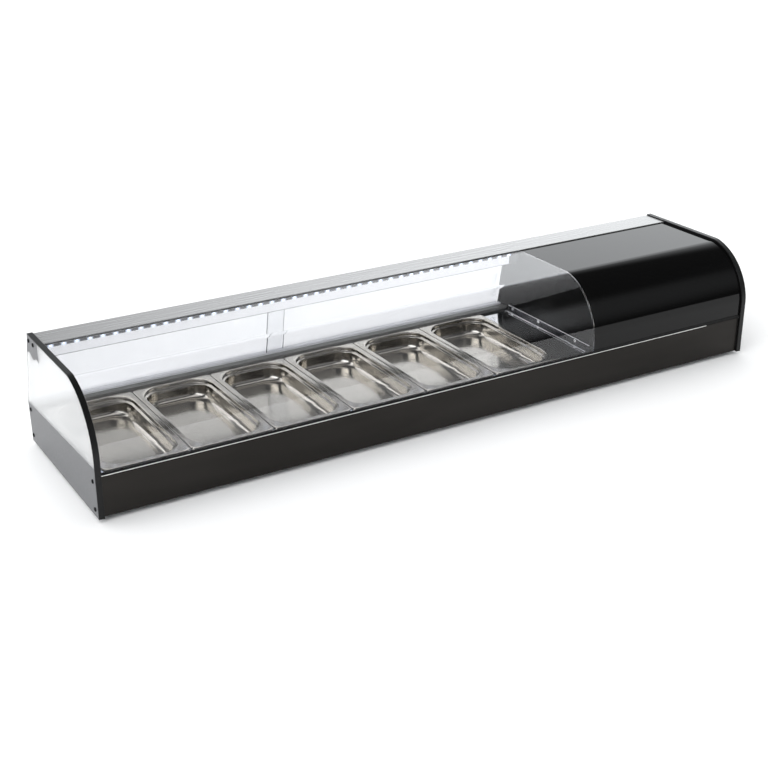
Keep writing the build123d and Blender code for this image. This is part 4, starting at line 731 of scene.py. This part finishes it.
def inside(tree, **limits):
    """One where Object X, Y and Z lie between the given limits, nought elsewhere."""
    axes = object_axes(tree)
    mask = None
    for axis, (low, high) in limits.items():
        over = math_node(tree, "GREATER_THAN", axes[axis], low)
        under = math_node(tree, "LESS_THAN", axes[axis], high)
        both = math_node(tree, "MULTIPLY", over, under)
        mask = both if mask is None else math_node(tree, "MULTIPLY", mask, both)
    return mask


def repaint(material, mask, base, roughness, glow=0.0, metallic=1.0):
    """Turns a brushed metal into plain colour where the mask is one, with a glow there if one is given. It
    lays the rail's pale track, the angle's painted highlights, and the web's painted lamp light.
    """
    tree = material.node_tree
    shader = tree.nodes["Principled BSDF"]
    for socket, value, kind in (("Base Color", (*base, 1.0), "RGBA"), ("Roughness", roughness, "FLOAT")):
        mixer = tree.nodes.new("ShaderNodeMix")
        mixer.data_type = kind
        brushed_side, paint_side = [i for i in mixer.inputs if i.enabled and i.name in ("A", "B")]
        paint_side.default_value = value
        tree.links.new(mask, mixer.inputs["Factor"])
        tree.links.new(shader.inputs[socket].links[0].from_socket, brushed_side)
        mixed = [output for output in mixer.outputs if output.enabled][0]
        tree.links.new(mixed, shader.inputs[socket])
    tree.links.new(math_node(tree, "MULTIPLY_ADD", mask, -metallic, metallic), shader.inputs["Metallic"])
    if glow:
        shader.inputs["Emission Color"].default_value = (*base, 1.0)
        tree.links.new(math_node(tree, "MULTIPLY", mask, glow), shader.inputs["Emission Strength"])
    return material


def rail_finish(look, along):
    """The door rail: grey ribs in front, and a pale track behind them."""
    material = brushed("rail aluminium", look.rail, 0.42, along, spread=0.05, tint=0.05, relief=0.05)
    mask = inside(material.node_tree, Y=(TRACK_Y, FAR))
    return repaint(material, mask, look.track, 0.5)


def profile_finish(look, along):
    """The top profile: satin aluminium, with painted lamp light on the web under the lamps: a pale colour
    that glows.
    """
    material = brushed("satin aluminium", look.profile, 0.26, along, spread=0.02, tint=0.02, relief=0.01)
    board_low, board_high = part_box("led_board")
    last_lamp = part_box("led_lamps")[1].x
    behind, top = board_high.y + WEB_BEHIND, board_low.z + WEB_ABOVE
    web = inside(material.node_tree, X=(-FAR, last_lamp), Y=(0.0, behind), Z=(0.0, top))
    # Painted lamp light: the web turns pale and glows.
    return repaint(material, web, look.track, 0.6, WEB_PAINTED_LAMPLIGHT, SATIN_METAL)


def angle_finish(across):
    """The partition's foot angle: dark, with painted highlights on both free edges, full on the top one and
    weaker on the side one.
    """
    material = brushed("dark anodised angle", (0.10, 0.10, 0.105), 0.20, across, spread=0.03, relief=0.01)
    low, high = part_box("partition_angle")
    tree = material.node_tree
    # Painted highlights: a pale colour along the top edge, and part of it along the side edge.
    top = inside(tree, Z=(high.z - EDGE_HIGHLIGHT, FAR))
    side = math_node(tree, "MULTIPLY", inside(tree, X=(-FAR, low.x + EDGE_HIGHLIGHT)), SIDE_HIGHLIGHT)
    return repaint(material, math_node(tree, "MAXIMUM", top, side), (0.85, 0.85, 0.85), 0.35)


def lit_board(look):
    """The lamps' board: dark violet, with painted lamp light: a glow that fades with the distance along X
    to the nearest lamp.
    """
    material = plastic("lamp board", (0.020, 0.017, 0.045), 0.45, grain=200.0, shine=0.08)
    tree = material.node_tree
    shader = tree.nodes["Principled BSDF"]
    low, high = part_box("led_lamps")
    first = low.x + (high.z - low.z) / 2
    along = math_node(tree, "SUBTRACT", object_axes(tree)["X"], first)
    away = math_node(tree, "PINGPONG", along, LAMP_PITCH / 2)
    glow = smooth_step(tree, away, GLOW_REACH, GLOW_CORE, look.lamp_strength * BOARD_GLOW)
    shader.inputs["Emission Color"].default_value = (*look.lamp, 1.0)
    tree.links.new(glow, shader.inputs["Emission Strength"])
    return material


def end_panel_finish(look):
    """The end panel: clear acrylic with a pale haze, and grey film on its foot."""
    material = see_through("end panel", look.clear, haze=0.01, clearness=look.clearness)
    tree = material.node_tree
    clear = tree.nodes["Material Output"].inputs["Surface"].links[0].from_socket
    paint = tree.nodes.new("ShaderNodeBsdfPrincipled")
    grain = noise(tree, FILM_GRAIN)
    dark = tuple(c * FILM_DARK for c in look.plate)
    tone = between(tree, grain, 0.0, 1.0)
    tree.links.new(mixed_colour(tree, tone, dark, look.plate), paint.inputs["Base Color"])
    tree.links.new(between(tree, grain, *FILM_GLOSS), paint.inputs["Roughness"])
    paint.inputs["Specular IOR Level"].default_value = FILM_SHINE
    mixed_shader(material, film_zone(tree), clear, paint.outputs["BSDF"])
    return material


FRAME_FINISH = {
    "deck_steel": ("deck_frame",),
    "well_steel": ("well_liner", "rear_base_panel", "bay_rear_panel"),
    "bright_steel": ("partition_screws", "well_probe", "fan_shaft", "divider_bars"),
    "angle": ("partition_angle",),
    "profile": ("top_profile",),
    "fan_blades": ("fan_rotor",),
    "rail": ("door_rail",),
    "fins": ("condenser",),
    "zinc": ("base_floor", "bay_bulkhead", "fan_shroud", "fan_bracket"),
    "side_plate": ("side_plates",),
    "front_panel": ("front_base_panel",),
    "grip": ("door_pull_left", "door_pull_right"),
    "partition": ("partition_wall",),
    "black_case": ("controller_body", "switch_housings", "drain"),
    "rubber": ("front_gaskets", "rubber_feet", "compressor_grommets", "cable_inlet"),
    "screw_black": ("side_screws",),
    "enamel": ("compressor", "compressor_base", "fan_motor"),
    "copper": ("cooling_coil", "refrigerant_lines", "filter_drier"),
    "foam": ("well_insulation",),
    "lamp_board": ("led_board",),
    "dark_window": ("display_window",),
    "key": ("key_set", "key_power", "key_up", "key_down"),
    "rocker": ("main_rocker", "light_rocker"),
}


class DISPLAY_OT_stage(bpy.types.Operator):
    """Set up the pale floor, the soft light and the camera"""

    bl_idname = "display.stage"
    bl_label = "Stage"

    def execute(self, context):
        studio = context.scene.display_studio
        floor_light(studio)
        room(studio)
        eye(studio)
        context.scene.view_settings.view_transform = "Standard"
        return {"FINISHED"}


def floor_light(studio):
    """A wide flat floor, and one very soft light from overhead."""
    material, tree, shader = nodes_of("floor", 0.0, 0.9, studio.floor)
    shader.inputs["Specular IOR Level"].default_value = 0.0
    cloud = between(tree, noise(tree, (0.8, 0.8, 0.8), 2.0), 0.0, 1.0)
    pale = tuple(c * 0.99 for c in studio.floor)
    tree.links.new(mixed_colour(tree, cloud, pale, studio.floor), shader.inputs["Base Color"])
    mesh = bpy.data.meshes.new("floor")
    corners = [(x * FLOOR_REACH, y * FLOOR_REACH, 0) for x, y in ((-1, -1), (1, -1), (1, 1), (-1, 1))]
    mesh.from_pydata(corners, [], [(0, 1, 2, 3)])
    mesh.materials.append(material)
    floor = bpy.data.objects.new("floor", mesh)
    bpy.context.scene.collection.objects.link(floor)
    lamp = bpy.data.lights.new("overhead", "SUN")
    lamp.energy = studio.sun
    lamp.angle = studio.sun_size
    light = bpy.data.objects.new("overhead", lamp)
    light.rotation_euler = (studio.sun_pitch, studio.sun_roll, 0)
    light.visible_glossy = False
    bpy.context.scene.collection.objects.link(light)


def lobe(tree, direction, azimuth, elevation, inner, outer, strength):
    """A soft patch of light in the room, round a direction given by azimuth from +Y and elevation.

    It rises smoothly with the cosine of the angle from that direction, between its two radii.
    """
    turn, rise = math.radians(azimuth), math.radians(elevation)
    toward = (math.sin(turn) * math.cos(rise), math.cos(turn) * math.cos(rise), math.sin(rise))
    dot = tree.nodes.new("ShaderNodeVectorMath")
    dot.operation = "DOT_PRODUCT"
    dot.inputs[1].default_value = toward
    tree.links.new(direction, dot.inputs[0])
    start, full = math.cos(math.radians(outer)), math.cos(math.radians(inner))
    return smooth_step(tree, dot.outputs["Value"], start, full, strength)


def room(studio):
    """The room: dark overhead, with cool soft boxes that fade out at their top.

    What the camera sees of the room itself is plain white.
    """
    world = bpy.data.worlds.new("room")
    bpy.context.scene.world = world
    world.use_nodes = True
    tree = world.node_tree
    place = tree.nodes.new("ShaderNodeTexCoord")
    direction = place.outputs["Generated"]
    split = tree.nodes.new("ShaderNodeSeparateXYZ")
    tree.links.new(direction, split.inputs["Vector"])
    total = None
    for soft_box in SOFT_BOXES:
        patch = lobe(tree, direction, *soft_box)
        total = patch if total is None else math_node(tree, "ADD", total, patch)
    under = smooth_step(tree, split.outputs["Z"], math.sin(BOX_TOP[1]), math.sin(BOX_TOP[0]), 1.0)
    total = math_node(tree, "MULTIPLY_ADD", total, under, studio.sky)
    path = tree.nodes.new("ShaderNodeLightPath")
    seen = math_node(tree, "MAXIMUM", total, path.outputs["Is Camera Ray"])
    background = tree.nodes["Background"]
    tree.links.new(seen, background.inputs["Strength"])
    tint = mixed_colour(tree, path.outputs["Is Camera Ray"], COOL, WHITE)
    tree.links.new(tint, background.inputs["Color"])


def eye(studio):
    """The camera, at the photograph's place."""
    data = bpy.data.cameras.new("camera")
    data.lens = studio.lens
    data.sensor_width = FRAME_WIDTH
    camera = bpy.data.objects.new("camera", data)
    camera.location = studio.camera_at
    sight = Vector(studio.camera_aim) - Vector(studio.camera_at)
    camera.rotation_euler = sight.to_track_quat("-Z", "Y").to_euler()
    bpy.context.scene.collection.objects.link(camera)
    bpy.context.scene.camera = camera


class DISPLAY_OT_finish(bpy.types.Operator):
    """Give each part that keeps its own solid its finish"""

    bl_idname = "display.finish"
    bl_label = "Frame finishes"

    def execute(self, context):
        make_materials(context.scene.display_finishes)
        for finish, names in FRAME_FINISH.items():
            for name in names:
                node = NODES[name]
                for slot in node.material_slots:
                    slot.material = MATERIALS[finish]
        return {"FINISHED"}


class DISPLAY_OT_pans(bpy.types.Operator):
    """Press the food pans"""

    bl_idname = "display.pans"
    bl_label = "Food pans"

    def execute(self, context):
        pan = context.scene.display_pan
        for name in sorted(n for n in NODES if n.startswith("pan_")):
            low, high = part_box(name)
            add_piece(
                name + "_pressed", [pan_surface(pan, low, high)], MATERIALS["pan_steel"], name,
                (name,), second=MATERIALS["pan_hem"], where=on_the_hem,
            )
        return {"FINISHED"}


def curved_sheet(shape, node, thickness, ends):
    """A bent sheet that fills a CAD node's place along the front line, its ends eased by a small radius."""
    low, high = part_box(node)
    loop = band_loop(shape, shape.setback, thickness, high.y, low.z)
    return along_x(loop, low.x, high.x, ends)


class DISPLAY_OT_glazing(bpy.types.Operator):
    """Bend the front glass and the housing cover"""

    bl_idname = "display.glazing"
    bl_label = "Glass and cover"

    def execute(self, context):
        shape = context.scene.display_shape
        glass = curved_sheet(shape, "curved_front_glass", shape.glass_sheet, shape.glass_edge)
        cover = curved_sheet(shape, "motor_cover", shape.cover_sheet, shape.edge)
        for name, sheet, finish, slot, node in (
            ("front_glass", glass, "glass", "curved_glass", "curved_front_glass"),
            ("housing_cover", cover, "black_gloss", "black_cover", "motor_cover"),
        ):
            add_piece(name, [sheet], MATERIALS[finish], "case", (node,))
        return {"FINISHED"}


class DISPLAY_OT_end_panels(bpy.types.Operator):
    """Cut the clear end panel and both edge trims"""

    bl_idname = "display.end_panels"
    bl_label = "End panels"

    def execute(self, context):
        shape = context.scene.display_shape
        low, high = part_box("left_end_panel")
        trim_low, trim_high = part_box("edge_trims")
        front = front_line(shape, shape.trim, trim_high.y, low.z)
        back = np.array([[high.y - shape.back_lean, low.z], [high.y, shape.back_break]])
        loop = bent(np.concatenate([front, back]), shape.panel_corner)
        for name, node, finish, slot in (
            ("clear_end", "left_end_panel", "end_panel", "clear_panel"),
            ("black_end", "right_end_panel", "black_gloss", "black_panel"),
        ):
            first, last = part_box(node)
            panel = along_x(loop, first.x, last.x, shape.panel_edge)
            add_piece(name, [panel], MATERIALS[finish], "case", (node,))
        band = band_loop(shape, 0.0, shape.trim, trim_high.y, trim_low.z)
        thickness = high.x - low.x
        ends = [(trim_low.x, trim_low.x + thickness), (trim_high.x - thickness, trim_high.x)]
        strips = [along_x(band, start, end, shape.trim_edge) for start, end in ends]
        add_piece("edge_trim_strips", strips, MATERIALS["black_trim"], "case", ("edge_trims",))
        return {"FINISHED"}


class DISPLAY_OT_doors(bpy.types.Operator):
    """Cut the two leaning rear doors"""

    bl_idname = "display.doors"
    bl_label = "Rear doors"

    def execute(self, context):
        shape = context.scene.display_shape
        for side in ("left", "right"):
            node = "rear_door_" + side
            low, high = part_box(node)
            across = shape.door_sheet / math.cos(shape.door_lean)
            loop = [(high.y - across, low.z), (high.y, low.z), (low.y + across, high.z), (low.y, high.z)]
            sheet = along_x(bent(loop, shape.door_edge), low.x, high.x, shape.edge)
            # Painted shade: the doors' ends get a dark finish.
            add_piece(
                "door_" + side, [sheet], MATERIALS["door"], side + "_door", (node,),
                second=MATERIALS["door_edge"], where=at_the_ends,
            )
        return {"FINISHED"}


class DISPLAY_OT_lip(bpy.types.Operator):
    """Roll the bright lip over the front panel"""

    bl_idname = "display.lip"
    bl_label = "Front lip"

    def execute(self, context):
        shape = context.scene.display_shape
        low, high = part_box("lip_trim")
        skin, bead = shape.lip_sheet, shape.lip_bead
        loop = [
            (high.y, high.z), (low.y, high.z), (low.y, high.z - bead), (low.y + skin, high.z - bead),
            (low.y + skin, high.z - skin), (high.y, high.z - skin),
        ]
        rear, rolled, fold = shape.lip_rear, bead * EDGE_SHARE, shape.lip_fold
        strip = along_x(bent(loop, [rear, rolled, rolled, fold, fold, rear]), low.x, high.x, shape.lip_end)
        add_piece("front_lip", [strip], MATERIALS["lip"], "case", ("lip_trim",))
        return {"FINISHED"}


def dome(centre, radius, height, sides=10, rings=4):
    """A lens facing -Y on a short collar, in rings.

    A ring at an angle t has the radius times cos t, and stands off by the collar plus sin t of the rest
    of the height. The last ring is small and closed flat.
    """
    t = np.linspace(0, math.pi / 2 * LENS_OPENING, rings)
    around = np.linspace(0, 2 * math.pi, sides, endpoint=False)
    size = np.concatenate([[1.0], np.cos(t)]) * radius
    stand = np.concatenate([[0.0], LENS_COLLAR + (1 - LENS_COLLAR) * np.sin(t)]) * height
    x = centre[0] + size[:, None] * np.cos(around)
    y = centre[1] - np.broadcast_to(stand[:, None], x.shape)
    z = centre[2] + size[:, None] * np.sin(around)
    return shell(np.stack([x, y, z], -1)[:, ::-1])


class DISPLAY_OT_lamps(bpy.types.Operator):
    """Set the lamps, each on its square base, along their board"""

    bl_idname = "display.lamps"
    bl_label = "Lamps"

    def execute(self, context):
        shape = context.scene.display_shape
        low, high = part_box("led_lamps")
        size = high.z - low.z
        count = round((high.x - low.x - size) / LAMP_PITCH) + 1
        places = np.linspace(low.x + size / 2, high.x - size / 2, count)
        middle = (low.z + high.z) / 2
        lens_back = high.y - LAMP_BASE
        lenses = [dome((x, lens_back, middle), size * LENS_RADIUS, lens_back - low.y) for x in places]
        add_piece("lamp_lenses", lenses, MATERIALS["lamp"], "case", ("led_lamps",))
        half = size / 2
        under, over = middle - half, middle + half
        square = [(lens_back, under), (high.y, under), (high.y, over), (lens_back, over)]
        housing = bent(square, shape.lamp_corner, steps=2)
        housings = [along_x(housing, x - half, x + half, shape.lamp_edge) for x in places]
        add_piece("lamp_housings", housings, MATERIALS["lamp_base"], "case", ("led_lamps",))
        return {"FINISHED"}


# A three: each bar's place across in widths and up in half heights, and whether it stands upright.
THREE = ((0, 1, False), (0.5, 0.5, True), (0, 0, False), (0.5, -0.5, True), (0, -1, False))


def digit_bar(centre, y, long, thin, upright):
    """One bar of a digit: a hexagon with pointed ends, raised off the window by a small rise."""
    hexagon = np.array([(-0.5, 0), (-0.5, 0.5), (0.5, 0.5), (0.5, 0), (0.5, -0.5), (-0.5, -0.5)])
    flat = hexagon * [long - thin, thin]
    flat[[0, 3], 0] += np.array([-0.5, 0.5]) * thin
    if upright:
        flat = flat[:, ::-1]
    side = 1 if upright else -1
    x, z = centre[0] + flat[:, 0], centre[1] + flat[:, 1]
    rows = np.stack([np.stack([x, np.full(6, y + k), z], -1) for k in (0.0, DIGIT_RISE)])
    return shell(rows[:, ::side])


class DISPLAY_OT_readout(bpy.types.Operator):
    """Light a plain digit in the controller's window"""

    bl_idname = "display.readout"
    bl_label = "Readout"

    def execute(self, context):
        low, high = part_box("display_window")
        tall = (high.z - low.z) * DIGIT_HEIGHT
        wide, thin = tall * DIGIT_WIDTH, tall * DIGIT_BAR
        middle_x, middle_z = (low.x + high.x) / 2, (low.z + high.z) / 2
        bars = []
        for across, up, upright in THREE:
            centre = (middle_x - across * wide, middle_z + up * tall / 2)
            long = (tall / 2 if upright else wide) * DIGIT_GAP
            bars.append(digit_bar(centre, high.y - DIGIT_SUNK, long, thin, upright))
        add_piece("readout_digit", bars, MATERIALS["readout"], "case", smooth=False)
        return {"FINISHED"}


class DISPLAY_PT_panel(bpy.types.Panel):
    """The pieces of the display case"""

    bl_label = "Display case"
    bl_idname = "DISPLAY_PT_panel"
    bl_space_type = "VIEW_3D"
    bl_region_type = "UI"
    bl_category = "Display case"

    def draw(self, context):
        for step in STEPS:
            self.layout.operator(step.bl_idname)


STEPS = (
    DISPLAY_OT_stage, DISPLAY_OT_finish, DISPLAY_OT_pans, DISPLAY_OT_glazing, DISPLAY_OT_end_panels,
    DISPLAY_OT_doors, DISPLAY_OT_lip, DISPLAY_OT_lamps, DISPLAY_OT_readout,
)
GROUPS = {
    "display_shape": CaseShape,
    "display_pan": PanShape,
    "display_finishes": Finishes,
    "display_studio": Studio,
}


def register():
    """Make the property groups, operators and panel known."""
    for group in (*GROUPS.values(), *STEPS, DISPLAY_PT_panel):
        bpy.utils.register_class(group)
    for name, group in GROUPS.items():
        setattr(bpy.types.Scene, name, PointerProperty(type=group))


def unregister():
    """Take them away again."""
    for name in GROUPS:
        delattr(bpy.types.Scene, name)
    for group in (DISPLAY_PT_panel, *reversed(STEPS), *reversed(GROUPS.values())):
        bpy.utils.unregister_class(group)


def main():
    """Build everything in order."""
    register()
    for step in STEPS:
        group, name = step.bl_idname.split(".")
        getattr(getattr(bpy.ops, group), name)()


if __name__ == "__main__":
    main()
